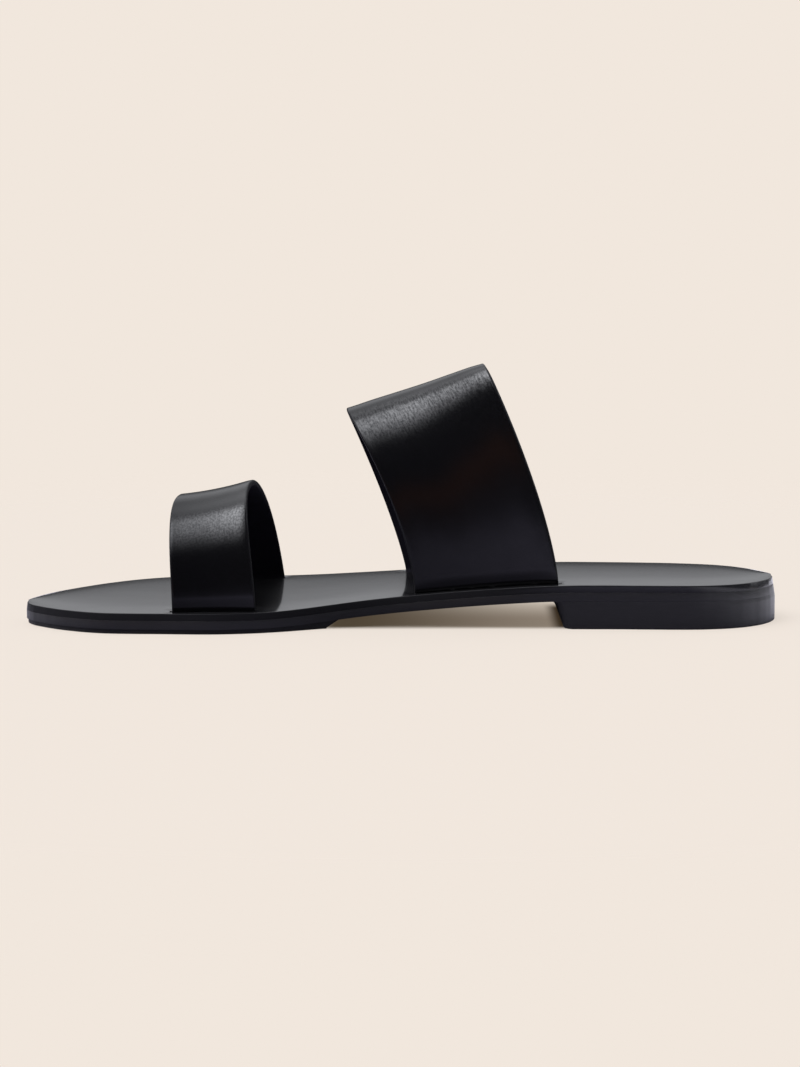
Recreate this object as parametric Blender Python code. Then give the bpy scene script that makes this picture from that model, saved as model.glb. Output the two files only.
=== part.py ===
"""Two-strap leather slide sandal for a right foot, EU size 37.

Metres, +Z up. The toe points to -X and the inner (medial) side of the foot faces -Y. The sandal
stands on its half sole and heel on the plane Z = 0, with its origin under the middle of its box.
"""

from typing import Callable, NamedTuple

import bmesh
import bpy
import numpy as np

MM = 0.001

# Driving dimensions of the sole
SHOE_LENGTH = 250.0 * MM
BALL_WIDTH = 88.0 * MM
HEEL_SEAT_HEIGHT = 14.6 * MM
TOE_SPRING = 0.2 * MM
INSOLE_THICKNESS = 2.2 * MM
OUTSOLE_THICKNESS = 2.6 * MM
HALF_SOLE_THICKNESS = 1.4 * MM
HALF_SOLE_SETBACK = 0.5 * MM
HEEL_FLARE = 1.0 * MM
HEEL_FLARE_DEPTH = 6.5 * MM
HEEL_CORNER_RADIUS = 3.0 * MM
EDGE_RADIUS = 0.8 * MM
FINE_EDGE_RADIUS = 0.3 * MM

# Driving dimensions of the straps
INSTEP_HEIGHT = 70.0 * MM
STRAP_THICKNESS = 2.0 * MM
STRAP_EDGE_CHAMFER = 0.4 * MM
FOOT_INSET = 5.0 * MM
SKIVE_LENGTH = 5.0 * MM
TAIL_LENGTH = 11.0 * MM
BEND_RADIUS = 1.0 * MM

# Gap kept between two pieces that meet, and the distance at which mesh points count as one
CLEARANCE = 0.3 * MM
MERGE_DISTANCE = 0.003 * MM

# Shares of the strap's thickness left in its slot and in its tucked tail
SLOT_SKIVE = 0.7
TAIL_SKIVE = 0.5

# Stations along the sole, as shares of its length from the toe
TOE_SPRING_END = 0.20
WAIST_START = 0.308
WAIST_END = 0.748
HALF_SOLE_END_BOTTOM = 0.402
HALF_SOLE_END_TOP = 0.418
HEEL_BREAST_TOP = 0.702
HEEL_BREAST_BOTTOM = 0.716
HEEL_FLARE_START = 0.90

# Edges that turn by more than this stay crisp
SHARP_ANGLE = np.radians(35.0)

# Counts of the facets
SOLE_STATIONS = 44
HALF_SOLE_STATIONS = 26
HEEL_STATIONS = 20
CORNER_STEPS = 4
ARCH_STEPS = 52
STRAP_COLUMNS = 5
BEND_STEPS = 4
POCKET_STEPS = 8
DENSE_STEPS = 400


class OutlineRow(NamedTuple):
    """One station of the sole's outline, as shares of the sole's length and of the ball width."""

    station: float
    medial: float
    lateral: float


class StrapRow(NamedTuple):
    """One section over a strap: its feet and crown along the sole, and how its forward lean bows.

    Stations are shares of the sole's length, the crown's height is a share of the instep's and its
    place is a share of the way from the medial to the lateral foot. A bow of 1 is a straight lean,
    and a larger one leans later on the way up.
    """

    medial_foot: float
    lateral_foot: float
    crown: float
    crown_height: float
    crown_place: float
    medial_bow: float
    lateral_bow: float


class StrapForm(NamedTuple):
    """How a strap arches over the foot: its sections, and the shape of the two sides."""

    front: StrapRow
    middle: StrapRow
    rear: StrapRow
    medial_fullness: float
    lateral_fullness: float


# Widths are measured from the heel's axis; the tips are where the two sides meet
TOE_TIP = -0.100
HEEL_TIP = -0.012
OUTLINE = (
    OutlineRow(0.020, -0.226, 0.097),
    OutlineRow(0.060, -0.320, 0.270),
    OutlineRow(0.112, -0.384, 0.433),
    OutlineRow(0.180, -0.398, 0.550),
    OutlineRow(0.260, -0.406, 0.588),
    OutlineRow(0.340, -0.353, 0.587),
    OutlineRow(0.440, -0.232, 0.548),
    OutlineRow(0.540, -0.226, 0.462),
    OutlineRow(0.660, -0.271, 0.378),
    OutlineRow(0.800, -0.286, 0.340),
    OutlineRow(0.900, -0.290, 0.300),
    OutlineRow(0.952, -0.236, 0.234),
    OutlineRow(0.984, -0.146, 0.130),
)

FRONT_STRAP = StrapForm(
    front=StrapRow(0.2005, 0.2275, 0.2005, 0.479, 0.42, 1.5, 1.0),
    middle=StrapRow(0.2555, 0.2825, 0.2505, 0.505, 0.42, 1.5, 1.0),
    rear=StrapRow(0.3095, 0.3365, 0.2998, 0.550, 0.42, 1.5, 1.0),
    medial_fullness=2.5,
    lateral_fullness=2.0,
)
REAR_STRAP = StrapForm(
    front=StrapRow(0.5190, 0.5075, 0.4268, 0.838, 0.52, 1.53, 1.25),
    middle=StrapRow(0.6140, 0.6030, 0.5194, 0.909, 0.49, 1.44, 1.25),
    rear=StrapRow(0.7090, 0.6985, 0.6120, 1.013, 0.34, 1.38, 1.25),
    medial_fullness=2.7,
    lateral_fullness=2.2,
)

# Colours are linear, roughness is a share
BLACK_LEATHER = (0.012, 0.012, 0.014)
BLACK_RUBBER = (0.010, 0.010, 0.010)


def smooth_step(share: np.ndarray) -> np.ndarray:
    """Ease from 0 to 1 with level ends."""
    clipped = np.clip(share, 0.0, 1.0)
    return clipped * clipped * (3.0 - 2.0 * clipped)


class ClosedSpline:
    """A smooth closed curve through values given at increasing angles of one turn."""

    def __init__(self, angles: np.ndarray, values: np.ndarray) -> None:
        count = len(angles)
        self.knots = np.append(angles, angles[0] + 2.0 * np.pi)
        self.values = np.append(values, values[0])
        self.spans = np.diff(self.knots)
        slopes = np.diff(self.values) / self.spans
        matrix = np.zeros((count, count))
        for i in range(count):
            matrix[i, i] = 2.0 * (self.spans[i - 1] + self.spans[i])
            matrix[i, i - 1] += self.spans[i - 1]
            matrix[i, (i + 1) % count] += self.spans[i]
        curvature = np.linalg.solve(matrix, 6.0 * (slopes - np.roll(slopes, 1)))
        self.curvature = np.append(curvature, curvature[0])

    def at(self, angles: np.ndarray) -> tuple[np.ndarray, np.ndarray]:
        """Return the curve's values and their rates of change at some angles."""
        turned = np.mod(angles - self.knots[0], 2.0 * np.pi) + self.knots[0]
        i = np.clip(np.searchsorted(self.knots, turned, side="right") - 1, 0, len(self.spans) - 1)
        span = self.spans[i]
        left = (self.knots[i + 1] - turned) / span
        right = (turned - self.knots[i]) / span
        bend_left = self.curvature[i] * span * span / 6.0
        bend_right = self.curvature[i + 1] * span * span / 6.0
        value = left * self.values[i] + right * self.values[i + 1]
        value = value + (left**3 - left) * bend_left + (right**3 - right) * bend_right
        turning = (3.0 * right**2 - 1.0) * bend_right - (3.0 * left**2 - 1.0) * bend_left
        rate = (self.values[i + 1] - self.values[i] + turning) / span
        return value, rate


SOLE_LENGTH = SHOE_LENGTH - HEEL_FLARE
TOE_X = -0.5 * SHOE_LENGTH


def station_angle(station: float) -> float:
    """Turn a station of the sole into its angle on the outline's medial side."""
    return float(np.arccos(1.0 - 2.0 * station))


def outline_spline() -> ClosedSpline:
    """Return the outline's sideways distance by angle: toe, medial side, heel, lateral side."""
    medial_angles = [station_angle(row.station) for row in OUTLINE]
    lateral_angles = [2.0 * np.pi - angle for angle in reversed(medial_angles)]
    angles = [0.0, *medial_angles, np.pi, *lateral_angles]
    shares = [TOE_TIP, *[row.medial for row in OUTLINE], HEEL_TIP]
    shares += [row.lateral for row in reversed(OUTLINE)]
    spline = ClosedSpline(np.array(angles), np.array(shares) * BALL_WIDTH)
    sideways = spline.at(np.linspace(0.0, 2.0 * np.pi, DENSE_STEPS))[0]
    middle = 0.5 * (sideways.min() + sideways.max())
    return ClosedSpline(np.array(angles), np.array(shares) * BALL_WIDTH - middle)


SIDEWAYS = outline_spline()


def sole_x(station: float) -> float:
    """Return the X of a station of the sole."""
    return TOE_X + SOLE_LENGTH * station


def outline_points(angles: np.ndarray, inset: np.ndarray | float = 0.0) -> np.ndarray:
    """Return outline points at some angles, moved inwards by an inset, as rows of X and Y."""
    x = TOE_X + 0.5 * SOLE_LENGTH * (1.0 - np.cos(angles))
    x_rate = 0.5 * SOLE_LENGTH * np.sin(angles)
    y, y_rate = SIDEWAYS.at(angles)
    length = np.hypot(x_rate, y_rate)
    return np.stack([x - inset * y_rate / length, y + inset * x_rate / length], axis=-1)


def footbed_height(x: np.ndarray) -> np.ndarray:
    """Return the height of the insole's top: level forefoot, rising waist, level heel seat."""
    forefoot = INSOLE_THICKNESS + OUTSOLE_THICKNESS + HALF_SOLE_THICKNESS + 2.0 * CLEARANCE
    station = (x - TOE_X) / SOLE_LENGTH
    rise = smooth_step((station - WAIST_START) / (WAIST_END - WAIST_START))
    return forefoot + (HEEL_SEAT_HEIGHT - forefoot) * rise + toe_lift(x)


def toe_lift(x: np.ndarray) -> np.ndarray:
    """Return how far the toe spring lifts the sole off the floor."""
    station = (x - TOE_X) / SOLE_LENGTH
    return TOE_SPRING * np.clip(1.0 - station / TOE_SPRING_END, 0.0, 1.0) ** 2


def insole_bottom(x: np.ndarray) -> np.ndarray:
    """Return the height of the insole's underside."""
    return footbed_height(x) - INSOLE_THICKNESS


def outsole_top(x: np.ndarray) -> np.ndarray:
    """Return the height of the outsole's upper face."""
    return insole_bottom(x) - CLEARANCE


def outsole_bottom(x: np.ndarray) -> np.ndarray:
    """Return the height of the outsole's underside."""
    return outsole_top(x) - OUTSOLE_THICKNESS


def tread_top(x: np.ndarray) -> np.ndarray:
    """Return the height of the faces cemented under the outsole: half sole and heel."""
    return outsole_bottom(x) - CLEARANCE


def floor_height(x: np.ndarray) -> np.ndarray:
    """Return the height of the floor, on which the heel stands."""
    return np.zeros_like(x)


def closed_loop(medial: np.ndarray, lateral: np.ndarray, height: Callable) -> np.ndarray:
    """Join two sides, both listed from front to back, into one loop at a height by X."""
    plan = np.concatenate([medial, lateral[::-1]])
    return np.column_stack([plan, height(plan[:, 0])])


def make_object(
    name: str, bm: bmesh.types.BMesh, material: bpy.types.Material | None
) -> bpy.types.Object:
    """Close up a mesh, turn its faces outwards and put it in the scene."""
    bmesh.ops.remove_doubles(bm, verts=bm.verts, dist=MERGE_DISTANCE)
    bmesh.ops.recalc_face_normals(bm, faces=bm.faces)
    mesh = bpy.data.meshes.new(name)
    bm.to_mesh(mesh)
    bm.free()
    mesh.shade_smooth()
    mesh.set_sharp_from_angle(angle=SHARP_ANGLE)
    obj = bpy.data.objects.new(name, mesh)
    bpy.context.scene.collection.objects.link(obj)
    if material is not None:
        mesh.materials.append(material)
    return obj


def add_skin(bm: bmesh.types.BMesh, loops: list[np.ndarray]) -> list[list[bmesh.types.BMVert]]:
    """Add a tube of quads through loops with equal counts of points."""
    rings = [[bm.verts.new(point) for point in loop] for loop in loops]
    count = len(rings[0])
    for lower, upper in zip(rings, rings[1:]):
        for i in range(count):
            j = (i + 1) % count
            bm.faces.new((lower[i], lower[j], upper[j], upper[i]))
    return rings


def add_strip_cap(bm: bmesh.types.BMesh, ring: list[bmesh.types.BMVert]) -> None:
    """Close a ring with strips between the points that face each other across it."""
    last = len(ring) - 1
    for i in range(len(ring) // 2 - 1):
        bm.faces.new((ring[i], ring[i + 1], ring[last - i - 1], ring[last - i]))


def add_closed_stack(bm: bmesh.types.BMesh, loops: list[np.ndarray]) -> None:
    """Add a closed body through loops, with strips across its first and last loop."""
    rings = add_skin(bm, loops)
    add_strip_cap(bm, rings[0])
    add_strip_cap(bm, rings[-1])


def trimmed_sides(angles: np.ndarray, inset: float, depth: float) -> tuple[np.ndarray, np.ndarray]:
    """Return the two sides of the trimmed edge at some angles, at a depth below the footbed.

    The edge is cut square to the floor, except that it spreads out at the back of the heel.
    """
    station = 0.5 * (1.0 - np.cos(angles))
    at_back = smooth_step((station - HEEL_FLARE_START) / (1.0 - HEEL_FLARE_START))
    outward = HEEL_FLARE * at_back * min(depth / HEEL_FLARE_DEPTH, 1.0) - inset
    return outline_points(angles, -outward), outline_points(2.0 * np.pi - angles, -outward)


def sole_layer(top: Callable, thickness: float, top_depth: float, round_top: float) -> bmesh.types.BMesh:
    """Make a full-length layer of the sole whose top lies at a depth below the footbed."""
    angles = np.linspace(0.0, np.pi, SOLE_STATIONS + 1)
    corner = 1.0 - np.sqrt(0.5)
    edge_rows = (
        (FINE_EDGE_RADIUS, thickness),
        (0.0, thickness - FINE_EDGE_RADIUS),
        (0.0, round_top),
        (corner * round_top, corner * round_top),
        (round_top, 0.0),
    )
    loops = []
    for inset, drop in edge_rows:
        sides = trimmed_sides(angles, inset, top_depth + drop)
        loops.append(closed_loop(*sides, lambda x, down=drop: top(x) - down))
    bm = bmesh.new()
    add_closed_stack(bm, loops)
    return bm


def half_sole_body() -> bmesh.types.BMesh:
    """Make the forefoot tread: set back from the outsole, level below, with a slanted rear end."""
    levels = (
        (HALF_SOLE_SETBACK + FINE_EDGE_RADIUS, HALF_SOLE_END_BOTTOM, toe_lift),
        (HALF_SOLE_SETBACK, HALF_SOLE_END_BOTTOM, lambda x: toe_lift(x) + FINE_EDGE_RADIUS),
        (HALF_SOLE_SETBACK, HALF_SOLE_END_TOP, tread_top),
    )
    loops = []
    for inset, end, height in levels:
        angles = np.linspace(0.0, station_angle(end), HALF_SOLE_STATIONS + 1)
        medial, lateral = trimmed_sides(angles, inset, 0.0)
        medial[-1, 0] = sole_x(end)
        lateral[-1, 0] = sole_x(end)
        loops.append(closed_loop(medial, lateral, height))
    bm = bmesh.new()
    add_closed_stack(bm, loops)
    return bm


def heel_sides(breast: float, inset: float, depth: float) -> tuple[np.ndarray, np.ndarray]:
    """Return the heel's two sides from breast to tip, with round corners at the breast."""
    turns = np.linspace(0.0, 0.5 * np.pi, CORNER_STEPS + 1)
    corner = breast + HEEL_CORNER_RADIUS / SOLE_LENGTH * (1.0 - np.cos(turns))
    corner_angles = np.arccos(1.0 - 2.0 * corner)
    rest = np.linspace(corner_angles[-1], np.pi, HEEL_STATIONS + 1)[1:]
    medial, lateral = trimmed_sides(np.concatenate([corner_angles, rest]), inset, depth)
    pulled_in = HEEL_CORNER_RADIUS * (1.0 - np.sin(turns))
    medial[: CORNER_STEPS + 1, 1] += pulled_in
    lateral[: CORNER_STEPS + 1, 1] -= pulled_in
    return medial, lateral


def heel_body() -> bmesh.types.BMesh:
    """Make the heel block: slanted breast, sides flush with the outsole, back flaring to the floor."""
    top_depth = INSOLE_THICKNESS + OUTSOLE_THICKNESS + 2.0 * CLEARANCE
    flared = max(HEEL_FLARE_DEPTH, top_depth + FINE_EDGE_RADIUS)
    flared_share = (flared - top_depth) / (HEEL_SEAT_HEIGHT - top_depth)
    flared_breast = HEEL_BREAST_TOP + (HEEL_BREAST_BOTTOM - HEEL_BREAST_TOP) * flared_share
    levels = (
        (HEEL_BREAST_BOTTOM, FINE_EDGE_RADIUS, flared, floor_height),
        (HEEL_BREAST_BOTTOM, 0.0, flared, lambda x: floor_height(x) + FINE_EDGE_RADIUS),
        (flared_breast, 0.0, flared, lambda x: footbed_height(x) - flared),
        (HEEL_BREAST_TOP, 0.0, top_depth, tread_top),
    )
    loops = []
    for breast, inset, depth, height in levels:
        loops.append(closed_loop(*heel_sides(breast, inset, depth), height))
    bm = bmesh.new()
    add_closed_stack(bm, loops)
    return bm


class Foot(NamedTuple):
    """Where one side of a strap enters the insole: two ends of the slot and its inward direction."""

    front: np.ndarray
    rear: np.ndarray
    inward: np.ndarray

    def at(self, share: float) -> np.ndarray:
        """Return the plan point at a share of the slot's length."""
        return self.front + (self.rear - self.front) * share


def strap_foot(form: StrapForm, medial: bool) -> Foot:
    """Place one strap foot a fixed inset inside the sole's edge."""
    side = 1.0 if medial else -1.0
    ends = []
    for row in (form.front, form.rear):
        station = row.medial_foot if medial else row.lateral_foot
        angle = station_angle(station)
        edge = outline_points(np.array([angle if medial else 2.0 * np.pi - angle]))[0]
        ends.append(edge + np.array([0.0, side * FOOT_INSET]))
    along = (ends[1] - ends[0]) / np.linalg.norm(ends[1] - ends[0])
    return Foot(ends[0], ends[1], side * np.array([-along[1], along[0]]))


def strap_feet() -> list[Foot]:
    """Return the four strap feet."""
    return [strap_foot(form, medial) for form in (FRONT_STRAP, REAR_STRAP) for medial in (True, False)]


def section_value(form: StrapForm, column: str, share: float) -> float:
    """Read one column of a strap's sections at a share of its width, on a parabola."""
    front, middle, rear = (getattr(row, column) for row in (form.front, form.middle, form.rear))
    weight_front = 2.0 * (share - 0.5) * (share - 1.0)
    weight_middle = 4.0 * share * (1.0 - share)
    weight_rear = 2.0 * share * (share - 0.5)
    return weight_front * front + weight_middle * middle + weight_rear * rear


def arch_points(
    form: StrapForm, medial_foot: np.ndarray, lateral_foot: np.ndarray, share: float
) -> np.ndarray:
    """Return evenly spaced points over the foot, from the medial to the lateral slot."""
    start = np.append(medial_foot, footbed_height(medial_foot[0]))
    end = np.append(lateral_foot, footbed_height(lateral_foot[0]))
    base = start + (end - start) * section_value(form, "crown_place", share)
    height = INSTEP_HEIGHT * section_value(form, "crown_height", share)
    lean = sole_x(section_value(form, "crown", share)) - base[0]
    turns = np.linspace(0.0, 0.5 * np.pi, DENSE_STEPS)[:, None]
    sides = []
    for foot, fullness, bow_column in (
        (start, form.medial_fullness, "medial_bow"),
        (end, form.lateral_fullness, "lateral_bow"),
    ):
        outward = np.cos(turns) ** (2.0 / fullness)
        upward = np.sin(turns) ** (2.0 / fullness)
        leaning = lean * upward ** section_value(form, bow_column, share)
        rise = np.hstack([leaning, np.zeros_like(upward), height * upward])
        sides.append(base + (foot - base) * outward + rise)
    dense = np.concatenate([sides[0], sides[1][-2::-1]])
    return evenly_spaced(dense, ARCH_STEPS)


def evenly_spaced(points: np.ndarray, steps: int) -> np.ndarray:
    """Return points at equal distances along a dense line."""
    distance = np.append(0.0, np.cumsum(np.linalg.norm(np.diff(points, axis=0), axis=1)))
    wanted = np.linspace(0.0, distance[-1], steps + 1)
    return np.column_stack([np.interp(wanted, distance, points[:, axis]) for axis in range(3)])


def tail_points(plan: np.ndarray, inward: np.ndarray) -> np.ndarray:
    """Return the strap's line below its slot: a bend, then the tail tucked under the insole."""
    below_insole = CLEARANCE + 0.5 * TAIL_SKIVE * STRAP_THICKNESS
    bend_top = insole_bottom(plan[0]) - below_insole + BEND_RADIUS
    points = []
    for turn in np.linspace(0.0, 0.5 * np.pi, BEND_STEPS + 1):
        place = plan + inward * BEND_RADIUS * (1.0 - np.cos(turn))
        points.append(np.append(place, bend_top - BEND_RADIUS * np.sin(turn)))
    tail_end = plan + inward * (BEND_RADIUS + TAIL_LENGTH)
    points.append(np.append(tail_end, insole_bottom(tail_end[0]) - below_insole))
    return np.array(points)


def strap_half_thickness(arch: np.ndarray) -> np.ndarray:
    """Return half the strap's thickness along its line: full over the foot, skived at both ends."""
    step = np.linalg.norm(arch[1] - arch[0])
    from_foot = step * np.minimum(np.arange(ARCH_STEPS + 1), np.arange(ARCH_STEPS + 1)[::-1])
    over_foot = SLOT_SKIVE + (1.0 - SLOT_SKIVE) * smooth_step(from_foot / SKIVE_LENGTH)
    bend = np.linspace(SLOT_SKIVE, TAIL_SKIVE, BEND_STEPS + 1)
    tail = np.append(bend, TAIL_SKIVE)
    return 0.5 * STRAP_THICKNESS * np.concatenate([tail[::-1], over_foot, tail])


def strap_body(form: StrapForm) -> bmesh.types.BMesh:
    """Make a strap: a band over the foot whose ends pass through the insole and tuck under it."""
    feet = (strap_foot(form, True), strap_foot(form, False))
    width = np.linalg.norm(feet[0].rear - feet[0].front)
    chamfer = STRAP_EDGE_CHAMFER / width
    inner_shares = np.linspace(0.0, 1.0, STRAP_COLUMNS + 1)[1:-1]
    shares = np.array([0.0, chamfer, *inner_shares, 1.0 - chamfer, 1.0])
    lines = []
    for share in shares:
        plans = [foot.at(share) for foot in feet]
        arch = arch_points(form, plans[0], plans[1], share)
        tails = [tail_points(plan, foot.inward) for plan, foot in zip(plans, feet)]
        lines.append(np.concatenate([tails[0][::-1], arch, tails[1]]))
    surface = np.stack(lines, axis=1)
    along = np.gradient(surface, axis=0)
    across = np.gradient(surface, shares, axis=1)
    normal = np.cross(along, across)
    normal /= np.linalg.norm(normal, axis=2, keepdims=True)
    half = strap_half_thickness(surface[BEND_STEPS + 2 : -BEND_STEPS - 2, 0])[:, None, None]
    edge_cut = 1.0 - STRAP_EDGE_CHAMFER / (0.5 * STRAP_THICKNESS)
    fullness = np.ones(len(shares))
    fullness[[0, -1]] = edge_cut
    offset = normal * half * fullness[None, :, None]
    rows = np.concatenate([surface + offset, (surface - offset)[:, ::-1]], axis=1)
    bm = bmesh.new()
    add_closed_stack(bm, list(rows))
    return bm


def slot_loops(
    foot: Foot, outer: float, inner: float, bottom: Callable, top: Callable
) -> list[np.ndarray]:
    """Return loops along a slot that reach past its ends, between two height functions."""
    along = (foot.rear - foot.front) / np.linalg.norm(foot.rear - foot.front)
    start = foot.front - along * CLEARANCE
    end = foot.rear + along * CLEARANCE
    loops = []
    for share in np.linspace(0.0, 1.0, POCKET_STEPS + 1):
        middle = start + (end - start) * share
        near = middle - foot.inward * outer
        far = middle + foot.inward * inner
        loops.append(
            np.array(
                [
                    (*near, bottom(near[0])),
                    (*far, bottom(far[0])),
                    (*far, top(far[0])),
                    (*near, top(near[0])),
                ]
            )
        )
    return loops


def cutter(name: str, bodies: list[list[np.ndarray]]) -> bpy.types.Object:
    """Make a hidden cutter from closed bodies that lie apart."""
    bm = bmesh.new()
    for loops in bodies:
        add_closed_stack(bm, loops)
    obj = make_object(name, bm, None)
    obj.hide_render = True
    obj.display_type = "WIRE"
    return obj


def cut(obj: bpy.types.Object, tool: bpy.types.Object) -> None:
    """Take a cutter's bodies out of a piece."""
    modifier = obj.modifiers.new(tool.name, "BOOLEAN")
    modifier.operation = "DIFFERENCE"
    modifier.solver = "EXACT"
    modifier.object = tool


def make_material(name: str, colour: tuple[float, float, float], roughness: float) -> bpy.types.Material:
    """Make a plain material."""
    material = bpy.data.materials.new(name)
    material.use_nodes = True
    shader = material.node_tree.nodes["Principled BSDF"]
    shader.inputs["Base Color"].default_value = (*colour, 1.0)
    shader.inputs["Roughness"].default_value = roughness
    shader.inputs["Metallic"].default_value = 0.0
    return material


def slot_cutter() -> bpy.types.Object:
    """Make the cutter for the four slots through the insole."""
    half = 0.5 * SLOT_SKIVE * STRAP_THICKNESS + CLEARANCE
    bodies = []
    for foot in strap_feet():
        below = lambda x: insole_bottom(x) - INSOLE_THICKNESS
        above = lambda x: footbed_height(x) + INSOLE_THICKNESS
        bodies.append(slot_loops(foot, half, half, below, above))
    return cutter("slot_cutter", bodies)


def pocket_cutter() -> bpy.types.Object:
    """Make the cutter for the outsole's four shallow pockets, one for each tucked strap end."""
    outer = 0.5 * SLOT_SKIVE * STRAP_THICKNESS + CLEARANCE
    inner = BEND_RADIUS + TAIL_LENGTH + CLEARANCE
    depth = TAIL_SKIVE * STRAP_THICKNESS + CLEARANCE
    bodies = []
    for foot in strap_feet():
        below = lambda x: outsole_top(x) - depth
        above = lambda x: outsole_top(x) + OUTSOLE_THICKNESS
        bodies.append(slot_loops(foot, outer, inner, below, above))
    return cutter("pocket_cutter", bodies)


def make_sole() -> list[bpy.types.Object]:
    """Make the sole: insole, outsole, half sole and heel."""
    insole_mesh = sole_layer(footbed_height, INSOLE_THICKNESS, 0.0, EDGE_RADIUS)
    insole = make_object("insole", insole_mesh, make_material("insole leather", BLACK_LEATHER, 0.45))
    cut(insole, slot_cutter())
    outsole_depth = INSOLE_THICKNESS + CLEARANCE
    outsole_mesh = sole_layer(outsole_top, OUTSOLE_THICKNESS, outsole_depth, FINE_EDGE_RADIUS)
    outsole = make_object("outsole", outsole_mesh, make_material("sole leather", BLACK_LEATHER, 0.5))
    cut(outsole, pocket_cutter())
    tread = make_material("tread rubber", BLACK_RUBBER, 0.7)
    half_sole = make_object("half_sole", half_sole_body(), tread)
    heel = make_object("heel", heel_body(), make_material("heel leather", BLACK_LEATHER, 0.5))
    return [insole, outsole, half_sole, heel]


def make_straps() -> list[bpy.types.Object]:
    """Make the two straps."""
    straps = []
    for name, form in (("front_strap", FRONT_STRAP), ("rear_strap", REAR_STRAP)):
        leather = make_material(f"{name} leather", BLACK_LEATHER, 0.35)
        straps.append(make_object(name, strap_body(form), leather))
    return straps


def main() -> None:
    """Build every piece of the sandal under one empty."""
    for obj in list(bpy.data.objects):
        bpy.data.objects.remove(obj, do_unlink=True)
    root = bpy.data.objects.new("sandal", None)
    bpy.context.scene.collection.objects.link(root)
    for piece in make_sole() + make_straps():
        piece.parent = root


main()
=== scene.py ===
"""A black leather slide sandal for a right foot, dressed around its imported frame.

Lengths are metres unless a name says otherwise. +Z is up, the toe points to -X and the inner
(medial) side of the foot faces -Y, towards the camera.
"""

import logging
import math
from dataclasses import dataclass, field
from enum import Enum
from typing import Callable

import bmesh
import bpy
import numpy as np
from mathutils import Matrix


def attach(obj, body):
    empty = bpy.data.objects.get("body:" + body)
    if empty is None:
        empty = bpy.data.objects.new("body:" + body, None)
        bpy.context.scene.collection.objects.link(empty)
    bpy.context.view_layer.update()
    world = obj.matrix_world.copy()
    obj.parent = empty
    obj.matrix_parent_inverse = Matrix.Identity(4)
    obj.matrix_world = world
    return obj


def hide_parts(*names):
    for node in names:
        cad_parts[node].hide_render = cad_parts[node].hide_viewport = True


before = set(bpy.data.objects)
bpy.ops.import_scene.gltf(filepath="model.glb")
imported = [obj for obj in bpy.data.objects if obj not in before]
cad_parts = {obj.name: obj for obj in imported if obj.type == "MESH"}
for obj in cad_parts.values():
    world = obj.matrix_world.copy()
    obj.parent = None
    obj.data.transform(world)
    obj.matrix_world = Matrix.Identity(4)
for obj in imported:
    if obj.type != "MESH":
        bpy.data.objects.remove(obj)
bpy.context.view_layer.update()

LOG = logging.getLogger("sandal")
Array = np.ndarray
Triple = tuple[float, float, float]
Span = tuple[float, float]
Stops = tuple[float, float, float, float]
MM = 0.001
TURN = 2.0 * math.pi
TINY = 1e-9


def ease(share: Array) -> Array:
    """Ease from 0 to 1 with level ends.

    Args:
        share: Place between the ends, clipped to 0 and 1.

    Returns:
        3 s^2 - 2 s^3 of the clipped share.
    """
    clipped = np.clip(share, 0.0, 1.0)
    return clipped * clipped * (3.0 - 2.0 * clipped)


def ripple(angle: Array, waves: tuple[Triple, ...]) -> Array:
    """Sum a few sine waves, for the slight unevenness of hand work.

    Args:
        angle: Where to read the waves, in radians.
        waves: Height, count and shift of each wave.

    Returns:
        The sum of height * sin(count * angle + shift).
    """
    return sum(height * np.sin(count * angle + shift) for height, count, shift in waves)


def raised(plan: Array, height: Array) -> Array:
    """Join plan points and heights.

    Args:
        plan: X and Y of each point.
        height: Z of each point.

    Returns:
        The points in space.
    """
    return np.concatenate([plan, height[..., None]], axis=-1)


class ClosedSpline:
    """A smooth closed curve: a periodic cubic spline of values given at angles of one turn."""

    def __init__(self, angles: Array, values: Array) -> None:
        """Solve for the curvature at each knot.

        Args:
            angles: Increasing angles in one turn.
            values: The curve's value at each angle.
        """
        count = len(angles)
        here = np.arange(count)
        self.knots = np.append(angles, angles[0] + TURN)
        self.values = np.append(values, values[0])
        self.spans = np.diff(self.knots)
        slopes = np.diff(self.values) / self.spans
        matrix = np.zeros((count, count))
        matrix[here, here] = 2.0 * (np.roll(self.spans, 1) + self.spans)
        matrix[here, here - 1] += np.roll(self.spans, 1)
        matrix[here, (here + 1) % count] += self.spans
        curvature = np.linalg.solve(matrix, 6.0 * (slopes - np.roll(slopes, 1)))
        self.curvature = np.append(curvature, curvature[0])

    def at(self, angles: Array) -> tuple[Array, Array]:
        """Read the curve.

        Args:
            angles: Where to read it.

        Returns:
            Its values, and their rates of change by angle.
        """
        turned = np.mod(angles - self.knots[0], TURN) + self.knots[0]
        i = np.clip(np.searchsorted(self.knots, turned, side="right") - 1, 0, len(self.spans) - 1)
        span = self.spans[i]
        left = (self.knots[i + 1] - turned) / span
        right = (turned - self.knots[i]) / span
        bend_left = self.curvature[i] * span * span / 6.0
        bend_right = self.curvature[i + 1] * span * span / 6.0
        value = left * self.values[i] + right * self.values[i + 1]
        value = value + (left**3 - left) * bend_left + (right**3 - right) * bend_right
        turning = (3.0 * right**2 - 1.0) * bend_right - (3.0 * left**2 - 1.0) * bend_left
        return value, (self.values[i + 1] - self.values[i] + turning) / span


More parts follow.
